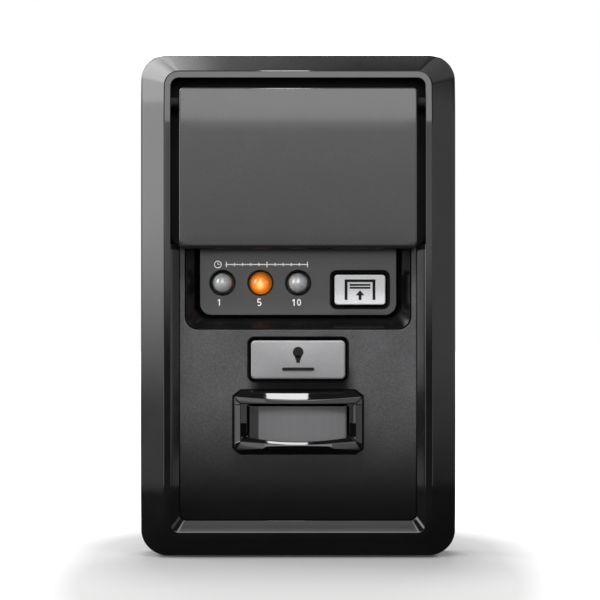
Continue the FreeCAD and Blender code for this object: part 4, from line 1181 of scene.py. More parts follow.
    def timer_recess(self) -> None:
        """The recess round the timer panel: a lip, then one steep wall down to the bay's floor."""
        side, low = self.recess
        run, front, floor = self.recess_run, self.face_front, self.bay_floor
        skin = Skin("timer_recess")
        rows = []
        for out, depth in ((self.recess_lip, front), (self.recess_edge[0], front),
                           (0.0, front - self.recess_edge[1]), (-run / 2, (front + floor) / 2),
                           (-run, floor + HAIR)):
            corners = [(-side - out, low - out), (side + out, low - out), (side + out, self.bay_low),
                       (-side - out, self.bay_low)]
            radius = self.recess_corner + max(out, 0)
            loop = outline(corners, [radius, radius, 0, 0], 10, list(self.recess_runs), hole=True)
            # A hole's outline starts at its upper left corner, which ends the open row here
            rows.append(skin.row(np.roll(loop.points, -1, axis=0), depth))
        skin.band(rows, closed=False)
        skin.build(RECESS, slot="housing_gloss")

    def inside(self, brink: Pair) -> None:
        """Keep the CAD node's faces that the skins don't cover: floors, bosses and holes.

        Args:
            brink: insets of the ridge's inner edge.
        """
        triangles = loose_triangles("front_bezel")
        corners = triangles / MM
        middle = corners.mean(axis=1)
        area = np.cross(corners[:, 1] - corners[:, 0], corners[:, 2] - corners[:, 0])
        facing = area / np.maximum(np.linalg.norm(area, axis=1, keepdims=True), 1e-12)
        side, depth, up = np.abs(middle[:, 0]), -middle[:, 1], middle[:, 2]
        bay_side = self.half_width - brink[0]
        bay_end = self.half_height - brink[1]
        face_side = bay_side - self.slope[0]
        face_end = bay_end - self.slope[1]
        cavity = (side < self.half_width - self.wall + HAIR) & (depth < self.bay_under + HAIR)
        cavity &= np.abs(up) < self.half_height - self.wall + HAIR
        in_bay = (side < bay_side - HAIR) & (up < bay_end - HAIR) & (up > self.bay_low - HAIR)
        in_bay &= depth < self.bay_floor + HAIR
        ledge = (np.abs(up - self.bay_low) < HAIR) & (np.abs(facing[:, 2]) > 0.99) & (side < bay_side + HAIR)
        in_well = (side < face_side - HAIR) & (up > HAIR - face_end) & (up < self.bay_low + HAIR)
        recess = in_well & (up > self.recess[1] - HAIR) & (side < self.recess[0] + HAIR)
        recess &= (depth > self.bay_floor + HAIR) & (depth < self.face_front - HAIR)
        recess &= (facing[:, 1] < -0.3) | (depth < self.timer_front + HAIR)
        rest = (cavity | in_bay | ledge | in_well) & ~recess & (depth > HAIR)
        self.carried_over("housing_inside", triangles[rest], INSIDE)

    def carried_over(self, name: str, corners: Array, finish: Finish) -> None:
        """Make a piece of loose triangles, whose equal points are merged first.

        Args:
            name: the piece's name.
            corners: the triangles' corner points, in metres.
            finish: its finish.
        """
        used, welded = np.unique(np.round(corners.reshape(-1, 3), 7), axis=0, return_inverse=True)
        faces = welded.reshape(-1, 3)
        sound = (faces[:, 0] != faces[:, 1]) & (faces[:, 1] != faces[:, 2]) & (faces[:, 2] != faces[:, 0])
        mesh = bpy.data.meshes.new(name)
        mesh.from_pydata(used.tolist(), [], faces[sound].tolist())
        mesh.polygons.foreach_set("use_smooth", np.ones(len(mesh.polygons), bool))
        mesh.set_sharp_from_angle(angle=math.radians(self.sharp_angle))
        place(mesh, finish, Body.HOUSING, slot="housing_gloss")


# Face

def octagon(side: float, low: float, high: float, cut_side: float, cut_end: float) -> list[Pair]:
    """Corners of a rectangle with cut corners, anticlockwise from the lower left."""
    return [(cut_side - side, low), (side - cut_side, low), (side, low + cut_end), (side, high - cut_end),
            (side - cut_side, high), (cut_side - side, high), (-side, high - cut_end), (-side, low + cut_end)]


@dataclass
class FacePlate:
    """The matt plate round the light button and the sensor hood, notched for the timer recess."""

    recess_side: float = 28.9
    recess_low: float = -6.25
    recess_corner: float = 3.3
    leg_corner: float = 0.5
    corner: float = 1.5
    edge: float = 0.16
    light_gap: float = 0.75
    light_corner: float = 1.1
    hood_gap: float = 0.2
    hood_corner: float = 0.15
    hood_edge: float = 0.05
    spacing: float = 2.5
    runs: tuple[int, ...] = (24, 40, 0, 0, 0, 0, 0, 40)

    def build(self) -> None:
        """One bowed slab with two holes."""
        box = NodeBox.of("faceplate")
        light = NodeBox.of("light_button")
        hood = NodeBox.of("pir_hood")
        side = self.recess_side
        corners = [(box.left, box.low), (box.right, box.low), (box.right, box.high), (side, box.high),
                   (side, self.recess_low), (-side, self.recess_low), (-side, box.high), (box.left, box.high)]
        radii = [self.corner, self.corner, self.leg_corner, self.leg_corner, self.recess_corner,
                 self.recess_corner, self.leg_corner, self.leg_corner]
        edge = outline(corners, radii, 12, list(self.runs))
        window = around(light.centre, *light.inner(Buttons.flange, self.light_gap),
                        self.light_corner + self.light_gap, hole=True)
        gap = self.hood_gap
        mouth = outline(octagon(hood.right + gap, hood.low - gap, hood.high + gap, *Hood.cuts),
                        self.hood_corner, 3, hole=True)
        skin = Skin("face_plate")
        slab(skin, [edge, window, mouth], lambda plan: box.front - BOW.drop(plan[:, 1], top=False), box.back,
             edge=[self.edge, self.edge, self.hood_edge], spacing=self.spacing)
        skin.build(FACE, stands_for=("faceplate",), slot="face_matte")


# Timer panel

@dataclass
class TimerPanel:
    """The small panel with three lamps, its numbers, and the frame round the hold open button."""

    corner: float = 3.0
    edge: float = 0.14
    lamp_hole: float = 3.32
    hold_gap: float = 0.95
    hold_corner: float = 1.7
    number_half: float = 0.86
    number_stroke: float = 0.24
    number_down: float = 4.98
    number_pitch: float = 1.25
    number_shift: tuple[float, ...] = (-0.8, -0.3, -0.4)
    zero_width: float = 0.6
    five_flag: Corners = ((0.46, 1.0), (-0.34, 1.0), (-0.41, 0.08))
    five_bowl: Pair = (128, -132)
    five_middle: Pair = (-0.02, -0.4)
    five_radii: Pair = (0.55, 0.54)
    one: Corners = ((-0.14, -1.0), (0.16, -1.0), (0.16, 1.0), (-0.05, 1.0), (-0.5, 0.62), (-0.5, 0.3),
                    (-0.14, 0.56))
    scale_up: float = 4.75
    scale_half: float = 0.12
    scale_ends: Pair = (1.9, 2.6)
    clock: Pair = (0.98, 0.76)
    clock_left: float = 1.2
    hands: Pair = (0.6, 0.5)
    hand_half: float = 0.1
    tick_ends: Pair = (2.2, 2.4)
    tick_half: float = 0.11
    tick_reach: Pair = (0.72, 0.42)
    ticks: int = 11
    ticks_in_group: int = 5

    def __post_init__(self) -> None:
        """Take the panel's box and the lamps' middles from the frame."""
        self.box = NodeBox.of("timer_panel")
        self.lamps = [NodeBox.of(name).centre for name in Lamps.names]

    def build(self) -> None:
        """The panel, then its printing."""
        box = self.box
        hold = NodeBox.of("hold_open_button")
        loops = [rectangle(box.left, box.right, box.low, box.high, self.corner, 12)]
        loops += [circle(centre, self.lamp_hole, hole=True) for centre in self.lamps]
        loops.append(around(hold.centre, *hold.inner(Buttons.flange, self.hold_gap), self.hold_corner,
                            hole=True))
        skin = Skin("timer_panel_plate")
        slab(skin, loops, box.front, box.back, edge=self.edge)
        skin.build(TIMER, stands_for=("timer_panel",), slot="timer_satin")
        for name, (side, up), shift in zip(Lamps.numbers, self.lamps, self.number_shift):
            self.number(name, (side + shift, up - self.number_down))
        self.time_scale()

    def number(self, name: str, centre: Pair) -> None:
        """Print a number whose figures are 1, 5 and 0.

        Args:
            name: the number.
            centre: its middle in plan.
        """
        skin = Skin(f"number_{name}")
        for index, figure in enumerate(name):
            side = centre[0] + (index - (len(name) - 1) / 2) * self.number_pitch
            printed(skin, [self.figure(figure, np.array([side, centre[1]]))], self.box.front)
        skin.build(WHITE_INK)

    def figure(self, name: str, middle: Array) -> list[Outline]:
        """The outlines of a figure, drawn with half its height as the unit.

        Args:
            name: 1, 5 or 0.
            middle: the figure's middle in plan.

        Returns:
            Its outline, and that of its hole.
        """
        half, stroke = self.number_half, self.number_stroke
        if name == "0":
            rings = ((circle((0, 0), 1.0, 32), 0.0), (circle((0, 0), 1.0, 32, hole=True), stroke))
            return [Outline(middle + ring.points * np.array([self.zero_width * half - less, half - less]),
                            ring.normals, ring.starts) for ring, less in rings]
        if name == "5":
            turn = np.radians(np.linspace(*self.five_bowl, 14))
            bowl = np.column_stack([np.cos(turn), np.sin(turn)]) * self.five_radii + self.five_middle
            return [stroked(middle + np.vstack([self.five_flag, bowl]) * half, stroke)]
        return [outline((middle + np.array(self.one) * half).tolist(), 0.0)]

    def time_scale(self) -> None:
        """A clock, and a plain scale above the lamps whose every fifth tick is longer."""
        last = self.lamps[-1][0]
        up = self.lamps[0][1] + self.scale_up
        hub = self.lamps[0][0] - self.clock_left
        shapes = [[circle((hub, up), self.clock[0], 32), circle((hub, up), self.clock[1], 32, hole=True)]]
        hand, thick = self.hand_half, self.scale_half
        bars = [(hub - hand, hub + hand, up - hand, up + self.hands[0]),
                (hub - hand, hub + self.hands[1], up - hand, up + hand),
                (hub + self.scale_ends[0], last + self.scale_ends[1], up - thick, up + thick)]
        ends = (hub + self.tick_ends[0], last + self.tick_ends[1])
        for index, side in enumerate(np.linspace(*ends, self.ticks)):
            reach = self.tick_reach[1 if index % self.ticks_in_group else 0]
            bars.append((side - self.tick_half, side + self.tick_half, up - reach, up + reach))
        shapes += [[rectangle(*bar, 0.06, 3)] for bar in bars]
        skin = Skin("time_scale_mark")
        printed(skin, shapes, self.box.front)
        skin.build(WHITE_INK)


def stroked(path: Array, width: float) -> Outline:
    """The outline of a line of a width along a path.

    Each point moves both ways along the mean of its neighbouring directions turned a quarter, by half
    the width over the cosine of half the turn.

    Args:
        path: points of the middle line.
        width: the line's width.

    Returns:
        The outline, anticlockwise.
    """
    steps = np.diff(path, axis=0)
    ways = steps / np.linalg.norm(steps, axis=1, keepdims=True)
    before = np.vstack([ways[:1], ways])
    after = np.vstack([ways, ways[-1:]])
    mean = before + after
    mean /= np.linalg.norm(mean, axis=1, keepdims=True)
    reach = width / 2 / np.maximum(np.sum(mean * before, axis=1), 0.5)
    aside = np.column_stack([mean[:, 1], -mean[:, 0]]) * reach[:, None]
    ring = np.vstack([path + aside, (path - aside)[::-1]])
    beyond = np.roll(ring, -1, axis=0)
    area = np.sum(ring[:, 0] * beyond[:, 1] - ring[:, 1] * beyond[:, 0])
    return outline((ring if area > 0 else ring[::-1]).tolist(), 0.0)


# Lamps

@dataclass
class Lamps:
    """Three round-topped lamps; the middle one is on."""

    names = ("led_1", "led_5", "led_10")
    numbers = ("1", "5", "10")
    lit: str = "led_5"
    dome_steps: int = 12
    flange: float = 0.4
    flange_thickness: float = 1.0
    chamfer: float = 0.1
    glow_power: float = 0.00018
    glow_colour: Triple = (1.0, 0.36, 0.05)
    glow_radius: float = 1.6
    glow_lift: float = 0.6

    def build(self) -> None:
        """Each lamp is a turned profile: a dome, a barrel and a flange."""
        for name in self.names:
            box = NodeBox.of(name)
            outer = (box.right - box.left) / 2
            radius = outer - self.flange
            ledge = box.back + self.flange_thickness
            dome = [(radius * math.sin(angle), box.front - radius * (1 - math.cos(angle)))
                    for angle in np.linspace(0.06, math.pi / 2, self.dome_steps)]
            barrel = [(radius, ledge + self.chamfer), (radius + self.chamfer, ledge),
                      (outer - self.chamfer, ledge), (outer, ledge - self.chamfer), (outer, box.back)]
            skin = Skin(f"{name}_lens")
            skin.revolve(box.centre, dome + barrel)
            if name == self.lit:
                skin.build(replace(LAMP_ON, centre=box.centre), stands_for=(name,), slot="lamp_amber")
                self.glow(box)
            else:
                skin.build(LAMP_OFF, stands_for=(name,), slot="lamp_clear")

    def glow(self, box: NodeBox) -> None:
        """A small amber light at the lit lamp's dome, which tints what is round it.

        Args:
            box: the lit lamp's box.
        """
        light = bpy.data.lights.new("amber_glow", "POINT")
        light.energy = self.glow_power
        light.color = self.glow_colour
        light.shadow_soft_size = self.glow_radius * MM
        lamp = added("amber_glow", light)
        lamp.location = (box.centre[0] * MM, -(box.front + self.glow_lift) * MM, box.centre[1] * MM)
        lamp.visible_camera = False
        lamp.visible_glossy = False


# Buttons

@dataclass(frozen=True)
class Cap:
    """What sets one button's cap apart: its body, finish, slot, roundings, crown and skirt."""

    body: Body
    finish: Finish
    slot: str
    corner: float
    edge: float
    crown: float = 0.0
    skirt: float | None = None


@dataclass
class Buttons:
    """The light, hold open, lock and learn buttons: hollow caps with a flange and a stem."""

    flange = 1.1
    flange_thickness: float = 0.8
    wall: float = 1.2
    stem: float = 1.9
    sunk: float = 0.12
    narrower: float = 0.19
    soft: float = 0.08
    bulb_up: float = 1.95
    bulb_radius: float = 1.36
    bulb_neck: Corners = ((-0.6, -1.95), (0.6, -1.95), (0.95, -0.85), (-0.95, -0.85))
    bulb_base: Corners = ((-0.5, -2.7), (0.5, -2.7), (0.5, -1.9), (-0.5, -1.9))
    bulb_bar: Corners = ((-4.1, -2.75), (4.1, -2.75), (4.1, -1.95), (-4.1, -1.95))
    door_frame: Corners = ((-3.95, -2.6), (-3.2, -2.6), (-3.2, 1.95), (3.2, 1.95), (3.2, -2.6),
                           (3.95, -2.6), (3.95, 2.65), (-3.95, 2.65))
    door_leaf: Pair = (2.65, 0.24)
    door_lifts: Pair = (1.25, 0.5)
    arrow: Corners = ((-0.38, -2.6), (0.38, -2.6), (0.38, -1.45), (1.15, -1.45), (0.0, -0.15),
                      (-1.15, -1.45), (-0.38, -1.45))
    caps: tuple[Cap, ...] = (
        Cap(Body.LIGHT, LIGHT_CAP, "button_grey", 1.1, 0.45, crown=0.25, skirt=11.4),
        Cap(Body.HOLD_OPEN, HOLD_CAP, "button_silver", 0.8, 0.3),
        Cap(Body.LOCK, SETUP_CAP, "setup_button", 1.2, 0.3),
        Cap(Body.LEARN, SETUP_CAP, "setup_button", 1.2, 0.3),
    )

    def build(self) -> None:
        """The four caps and the marks on two of them."""
        for cap in self.caps:
            self.cap(cap)
        self.bulb(NodeBox.of(Body.LIGHT.value))
        self.open_door(NodeBox.of(Body.HOLD_OPEN.value))

    def cap(self, cap: Cap) -> None:
        """One cap: its rows go over the front edge, down to the flange, round it and up inside.

        Args:
            cap: what sets it apart.
        """
        node = cap.body.value
        box = NodeBox.of(node)
        loop, collar, hollow = (around(box.centre, *box.inner(self.flange, more), corner, 8, 12)
                                for more, corner in ((-self.narrower, cap.corner), (self.flange, cap.corner),
                                                     (-self.wall, 0.1)))
        half = np.array(box.inner(self.flange)) / 2

        def front(plan: Array) -> Array:
            """The crown: full in the middle and none at the sides, as one less each share squared."""
            flat = 1 - ((plan - np.array(box.centre)) / half) ** 2
            return box.front - cap.crown + cap.crown * np.clip(flat[:, 0] * flat[:, 1], 0, 1)

        finish = cap.finish
        # The painted shade on the cap's sides begins just behind its front's rounding
        if isinstance(finish, CapWithPaintedShade):
            finish = replace(finish, shade_depth=box.front - cap.crown - cap.edge)
        skirt = box.back if cap.skirt is None else cap.skirt
        shoulder = skirt + self.flange_thickness
        roof = box.front - cap.crown - self.wall
        soft = self.soft
        skin = Skin(f"{node}_cap")
        rows = skin.sweep([*front_edge(loop, front, cap.edge, 5), (loop.points, shoulder + 0.1),
                           (loop.inset(-0.1), shoulder), (collar.inset(soft), shoulder),
                           (collar.points, shoulder - soft), (collar.points, skirt + soft),
                           (collar.inset(soft), skirt), (hollow.inset(-soft), skirt),
                           (hollow.points, skirt + soft), (hollow.points, roof)])
        skin.fill([rows[0]], True, front, 1.6)
        skin.fill([rows[-1]], False)
        skin.revolve(box.centre, [(self.stem, roof + 0.2), (self.stem, box.back + 0.1),
                                  (self.stem - 0.1, box.back)], 32)
        skin.build(finish, cap.body, stands_for=(node,), slot=cap.slot)

    def bulb(self, box: NodeBox) -> None:
        """A light bulb with a plain bar under it.

        Args:
            box: the light button's box.
        """
        middle = (box.centre[0], box.centre[1] + self.bulb_up)
        skin = Skin("light_bulb_mark")
        printed(skin, [[circle(middle, self.bulb_radius, 40)],
                       [outline(shifted(self.bulb_neck, middle), 0.15, 3)],
                       [outline(shifted(self.bulb_base, middle), 0.12, 3)],
                       [outline(shifted(self.bulb_bar, box.centre), 0.38, 6)]], box.front, self.sunk)
        skin.build(BLACK_INK, Body.LIGHT)

    def open_door(self, box: NodeBox) -> None:
        """A door frame with a raised door, and an arrow that points up.

        Args:
            box: the hold open button's box.
        """
        side, up = box.centre
        half, thick = self.door_leaf
        frame_loop, arrow_loop = (outline(shifted(corners, box.centre), radius, 3)
                                  for corners, radius in ((self.door_frame, 0.1), (self.arrow, 0.06)))
        leaves = [rectangle(side - half, side + half, up + lift - thick, up + lift + thick, 0.08, 3)
                  for lift in self.door_lifts]
        for name, loops in (("open_door_mark", [frame_loop, *leaves]), ("arrow_mark", [arrow_loop])):
            skin = Skin(name)
            printed(skin, [[loop] for loop in loops], box.front)
            skin.build(BLACK_INK, Body.HOLD_OPEN)


# Push bar

@dataclass
class PushBar:
    """The large bar: one closed shell with a skirt on three sides, a boss and two hinge stubs."""

    side: float = 30.2
    wall: float = 1.9
    corner: float = 0.9
    lip: float = 2.3
    edge: float = 0.42
    low_edge: float = 1.05
    low_edge_end: float = 2.2
    soft: float = 0.12
    skirt_back: float = 14.0
    hinge_up: float = 51.5
    hinge_depth: float = 15.6
    stub: float = 1.5
    stub_chamfer: float = 0.2
    boss: Pair = (0.0, 24.0)
    boss_radius: float = 2.2
    boss_back: float = 14.4
    boss_chamfer: float = 0.15
    runs: tuple[int, ...] = (20, 2, 1, 40, 20, 40, 1, 2)

    def build(self) -> None:
        """The shell's rows go over the front edge, down the walls, round the skirt and up inside."""
        box = NodeBox.of("push_bar")
        low, high = box.low, box.high
        inner_front = box.front - self.wall
        step = low + self.lip
        soft = self.soft

        def loop(inset: float, radius: float) -> Outline:
            """The bar's outline, with two points on each side where the skirt ends.

            Args:
                inset: how far it lies inside the bar's walls.
                radius: rounding of its corners.

            Returns:
                The outline.
            """
            left, right = inset - self.side, self.side - inset
            corners = [(left, low + inset), (right, low + inset), (right, step - HAIR), (right, step + HAIR),
                       (right, high - inset), (left, high - inset), (left, step + HAIR), (left, step - HAIR)]
            return outline(corners, [radius, radius, 0, 0, radius, radius, 0, 0], 8, list(self.runs))

        def depth(plan: Array) -> Array:
            """Flat, then bowed back towards the top."""
            return box.front - BOW.drop(plan[:, 1], bottom=False)

        outer = loop(0, self.corner)
        inner = loop(self.wall, 0.1)
        height = outer.points[:, 1]
        share = np.clip((height - low) / self.low_edge_end, 0, 1)
        edge = self.low_edge + (self.edge - self.low_edge) * share * share * (3 - 2 * share)
        back = np.where(height < step, inner_front, self.skirt_back)
        skin = Skin("push_bar_shell")
        rows = skin.sweep([*front_edge(outer, depth, edge, 7), (outer.points, back + soft),
                           (outer.inset(soft), back), (inner.inset(-soft), back),
                           (inner.points, np.minimum(back + soft, inner_front)),
                           (inner.points, inner_front)])
        skin.fill([rows[0]], True, depth, 2.5)
        skin.fill([rows[-1]], False)
        skin.revolve(self.boss, [(self.boss_radius, inner_front + 0.2),
                                 (self.boss_radius, self.boss_back + self.boss_chamfer),
                                 (self.boss_radius - self.boss_chamfer, self.boss_back)], 32)
        skin.build(BAR, Body.PUSH_BAR, stands_for=("push_bar",), slot="bar_satin")
        hinge = Skin("push_bar_hinge_stubs")
        for way in (-1, 1):
            self.hinge_stub(hinge, way, box.right)
        hinge.build(INSIDE, Body.PUSH_BAR, slot="bar_satin")

    def hinge_stub(self, skin: Skin, way: int, reach: float) -> None:
        """A round stub along X: circles about the hinge axis at steps out from the bar's side.

        Args:
            skin: the stubs' skin.
            way: 1 for the right, -1 for the left.
            reach: how far from the middle the stub ends.
        """
        root = self.side - 0.5
        chamfer = self.stub_chamfer
        angles = np.linspace(0, 2 * math.pi, 32, endpoint=False)
        rows = []
        for radius, side in ((self.stub, root), (self.stub, reach - chamfer), (self.stub - chamfer, reach)):
            rows.append(skin.add(np.column_stack([np.full(len(angles), way * side),
                                                  self.hinge_depth + radius * np.sin(angles) * way,
                                                  self.hinge_up + radius * np.cos(angles)])))
        skin.band(rows)
        skin.close(rows, [(way * side, self.hinge_depth, self.hinge_up) for side in (root, reach)])


# Sensor hood and lens

@dataclass
class Hood:
    """The glossy hood: sloped outside, bulged rim, sloped sill and side walls, and the milky lens."""

    cuts = (2.1, 1.65)
    slope_side: float = 0.3
    slope_top: float = 2.4
    slope_low: float = 2.2
    front_cuts: Pair = (0.4, 0.4)
    window_cuts: Pair = (0.12, 0.12)
    window_corner: float = 0.04
    rim_side: float = 1.6
    rim_top: float = 1.0
    rim_low: float = 0.29
    rim_tilt: float = 0.06
    low_tilt: float = 0.1
    side_drop: float = 0.65
    inner_slope: float = 1.65
    inner_drop: float = 0.8
    sill: float = 2.2
    foot: float = 4.0
    seat: float = 15.9
    ledge: float = 15.3
    face_front: float = 15.6
    bulge: float = 183.0
    bar: float = 0.14
    bar_hair: float = 0.04
    step_side: float = 8.5
    step_drop: float = 0.55
    step_run: float = 0.12
    soft: float = 0.12
    slope_start: float = 0.04
    crest_share: float = 0.06
    brow_share: float = 0.05
    wall_end: float = 0.97
    lens_front: float = 17.4
    lens_bulge: float = 87.0
    lens_gap: float = 0.7
    lens_shadow: float = 0.7
    lens_lift: float = 0.1
    lens_edge: float = 0.12
    lens_thickness: float = 0.9
    shelf: Pair = (0.15, 0.25)
    slot: tuple[float, float, float, float] = (13.15, 14.6, -33.5, -30.0)
    slot_lift: float = 0.03
    slot_thickness: float = 0.2
    runs: tuple[int, ...] = (60, 2, 20, 2, 60, 2, 20, 2)
    lens_runs: tuple[int, ...] = (40, 16, 40, 16)

    def __post_init__(self) -> None:
        """Take the outer size from the frame, and the window's from it."""
        box = NodeBox.of("pir_hood")
        self.box = box
        self.window = box.right - self.slope_side - self.rim_side
        self.window_low = box.low + self.slope_low + self.rim_low
        self.window_high = box.high - self.slope_top - self.rim_top
        self.throat = self.window - self.inner_slope
        self.side_brow = float(self.front(np.array([[self.window, 0.0]]))[0])

    def eight(self, side: float, low: float, high: float, cuts: Pair | None = None,
              radius: float | None = None) -> Outline:
        """An eight-cornered outline, cut as the window is unless it says; its points match every row's."""
        corners = octagon(side, low, high, *(cuts or self.window_cuts))
        return outline(corners, radius or self.window_corner, 3, list(self.runs))

    def front(self, plan: Array) -> Array:
        """The bulged front: its depth in the middle less the bulge's drop."""
        return self.box.front - (self.bulge - np.sqrt(self.bulge ** 2 - plan[:, 0] ** 2))

    def lens_depth(self, plan: Array) -> Array:
        """The lens's front: its depth in the middle less the cylinder's drop."""
        return self.lens_front - (self.lens_bulge - np.sqrt(self.lens_bulge ** 2 - plan[:, 0] ** 2))

    def squared(self, points: Array, starts: tuple[int, ...], ends: bool) -> Array:
        """Spread the points of both sides between the window's upper and lower bars.

        Args:
            points: a row's points, changed in place.
            starts: where each corner of the row begins.
            ends: whether the corner points next to the sides go to these heights too.

        Returns:
            Which points are on a side.
        """
        low = self.window_low + self.bar
        high = self.window_high - self.bar
        gap = 2 * self.bar_hair
        heights = np.concatenate([[low], np.linspace(low + gap, high - gap, self.runs[2] - 2), [high]])
        on_side = np.zeros(len(points), bool)
        for corner, run in ((2, heights), (6, heights[::-1])):
            first = starts[corner] + 4
            last = first + len(run)
            points[first:last, 1] = run
            on_side[first:last] = True
            if ends:
                # Two points each, a hair apart, keep the step between side and band sharp
                hair = self.bar_hair * np.sign(run[-1] - run[0])
                points[first - 2:first, 0] = points[last:last + 2, 0] = points[first, 0]
                points[first - 2:first, 1] = run[0] - hair, run[0]
                points[last:last + 2, 1] = run[-1], run[-1] + hair
        return on_side

    def rim(self, base: Array, rim: Outline) -> Array:
        """The rim's plan: on the slopes from the base to the bulged front, and lower at the step.

        Args:
            base: points at the slopes' foot.
            rim: the outline where the slopes would end on a flat front.

        Returns:
            The rim's points.
        """
        share = (self.front(rim.points) - self.face_front) / (self.box.front - self.face_front)
        outer = between(base, rim.points, share[:, None])
        outer[:, 0] = rim.points[:, 0]
        beside = np.clip((np.abs(outer[:, 0]) - self.step_side) / self.step_run, 0, 1)
        beside *= outer[:, 1] < self.box.centre[1]
        return outer - np.column_stack([np.zeros(len(outer)), self.step_drop * beside])

    def rows(self) -> list[tuple[Array, float | Array]]:
        """The hood's rows: up the slopes, over the rim and down the walls of the window.

        Returns:
            Rows of plan points with their depths, back to front.
        """
        box, face, soft = self.box, self.face_front, self.soft
        low, high = self.window_low, self.window_high
        base = self.eight(box.right, box.low, box.high, self.cuts, 0.2).points
        slopes = self.eight(box.right - self.slope_side, box.low + self.slope_low, box.high - self.slope_top,
                            self.front_cuts, 0.15)
        mouth = self.eight(self.window, low, high)
        throat = self.eight(self.throat, low + self.sill, high).points
        shelf = self.eight(self.throat - self.lens_gap - self.shelf[0], low + self.sill + self.shelf[1],
                           high - self.lens_shadow - self.shelf[0]).points
        rim = self.rim(base, slopes)
        at_side = self.squared(rim, slopes.starts, True)
        self.squared(mouth.points, mouth.starts, False)
        brow = self.front(mouth.points)
        share = (brow - box.front) / (self.seat - box.front)
        inner = between(mouth.points, throat, share[:, None])
        inner[:, 0] = mouth.points[:, 0]
        crest = np.where(at_side, self.side_brow - self.side_drop, self.front(slopes.points))
        crest = crest - self.rim_tilt * np.clip((rim[:, 1] - high) / self.rim_top, 0, 1)
        brow = brow - self.low_tilt * ((rim[:, 1] <= box.centre[1]) & ~at_side)
        in_wall = np.abs(throat[:, 0]) > self.throat - 0.01
        shoulder = np.where(in_wall, self.side_brow - self.inner_drop, self.seat)
        rows = [(base, box.back + self.foot), (base, face)]
        for share in (self.slope_start, 1 - soft / 1.5):
            rows.append((between(base, rim, share), between(face, crest, share)))
        rows += [(between(rim, inner, self.crest_share / 3), crest - soft * 0.3),
                 (between(rim, inner, self.crest_share), between(crest, brow, self.crest_share)),
                 (between(inner, rim, self.brow_share), between(brow, crest, self.brow_share)),
                 (between(inner, rim, self.brow_share / 5), brow - soft * 0.2)]
        for share in (soft, self.wall_end):
            rows.append((between(inner, throat, share), between(brow, shoulder, share)))
        return rows + [(throat, shoulder - 0.03), (throat, self.seat - 0.1), (throat, self.ledge),
                       (shelf, self.ledge)]

    def build(self) -> None:
        """The hood, black tiles of painted shade for its slots, and the lens."""
        skin = Skin("sensor_hood")
        # Rows run from the back round to the front, so they are joined in the other order
        skin.sweep(self.rows()[::-1])
        skin.build(HOOD, stands_for=("pir_hood",), slot="housing_gloss")
        self.slot_shades()
        self.lens()

    def slot_shades(self) -> None:
        """Painted shade for slots low in the window's side walls: thin black tiles on the walls' slope."""
        near, far, low, high = self.slot
        slope = self.inner_drop / (self.window - self.throat)
        skin = Skin("hood_slot_shades")
        for way in (-1, 1):
            plan = [(near, low), (far, low), (far, high), (near, high)]
            sides = plan if way > 0 else [(-x, z) for x, z in plan][::-1]
            points = outline(sides, 0.08, 3).points
            # The wall's depth is the brow's less the slope's fall from the window
            depth = self.side_brow - (self.window - np.abs(points[:, 0])) * slope + self.slot_lift
            rows = skin.sweep([(points, depth), (points, depth - self.slot_thickness)])
            skin.fill([rows[0]], True)
            skin.fill([rows[1]], False)
        skin.build(SHADOW)

    def lens(self) -> None:
        """The lens: a low upright cylinder whose lower end follows the sill."""
        side = self.throat - self.lens_gap
        high = self.window_high - self.lens_shadow
        low = self.window_low + self.lens_lift
        slope = self.sill / (self.box.front - self.seat)
        square, foot = (rectangle(-side, side, end, high, 0.15, 4, list(self.lens_runs))
                        for end in (low, low + self.sill))
        plan = square.points.copy()
        sill = low + (self.box.front - self.lens_depth(plan)) * slope
        share = (high - plan[:, 1]) / (high - low)
        plan[:, 1] = high - share * (high - sill)
        shaped = Outline(plan, square.normals, square.starts)
        skin = Skin("sensor_lens")
        rows = skin.sweep([*front_edge(shaped, self.lens_depth, self.lens_edge, 3), (foot.points, self.seat),
                           (foot.points, self.seat - self.lens_thickness)])
        skin.fill([rows[0]], True, self.lens_depth, 1.2)
        skin.fill([rows[-1]], False)
        skin.build(LENS, stands_for=("pir_lens",), slot="lens_milky")


# Pieces that keep their CAD shape

CAD_FINISHES: dict[str, Finish] = {
    "hold_open_switch": STEEL, "light_switch": STEEL, "lock_switch": STEEL, "learn_switch": STEEL,
    "push_bar_switch": STEEL, "hold_open_plunger": CHIP, "light_plunger": CHIP, "lock_plunger": CHIP,
    "learn_plunger": CHIP, "push_bar_plunger": CHIP, "led_spacers": CHIP, "led_leads": TIN,
    "pir_sensor_can": STEEL, "pir_sensor_window": DARK, "pir_sensor_pins": TIN, "circuit_board": BOARD,
    "microcontroller": CHIP, "bridge_rectifier": CHIP, "storage_capacitor": CHIP, "chip_resistors": CHIP,
    "rear_cover": COVER, "terminal_plate_left": BRASS, "terminal_plate_right": BRASS,
    "case_screws": SCREW, "board_screws": SCREW, "terminal_screws": SCREW,
}


def dress_cad_nodes() -> None:
    """Give each CAD node that still shows its finish."""
    for name, finish in CAD_FINISHES.items():
        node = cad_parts[name]
        material = finish.material()
        if node.material_slots:
            for slot in node.material_slots:
                slot.material = material
        else:
            node.data.materials.append(material)
        LOG.info("%s: finish %s", name, finish.name)


# Studio

@dataclass(frozen=True)
class Card:
    """A soft-edged patch of light on the sky: limits in degrees, left to right and low to high."""

    left: float
    right: float
    low: float
    high: float
    level: float
    side_edge: float = 6.0
    low_edge: float = 2.0
    high_edge: float = 8.0

    def light(self, nodes: Nodes, azimuth: Socket, elevation: Socket) -> Socket:
        """Its level in a direction: full inside, and none past its soft edges.

        Args:
            nodes: the sky's node tree.
            azimuth: the direction's angle to the right of straight ahead, in degrees.
            elevation: its angle above level, in degrees.

        Returns:
            The level.
        """
        across = nodes.window(azimuth, (self.left, self.left + self.side_edge),
                              (self.right - self.side_edge, self.right))
        upright = nodes.window(elevation, (self.low, self.low + self.low_edge),
                               (self.high - self.high_edge, self.high))
        return nodes.product(across, upright, self.level)


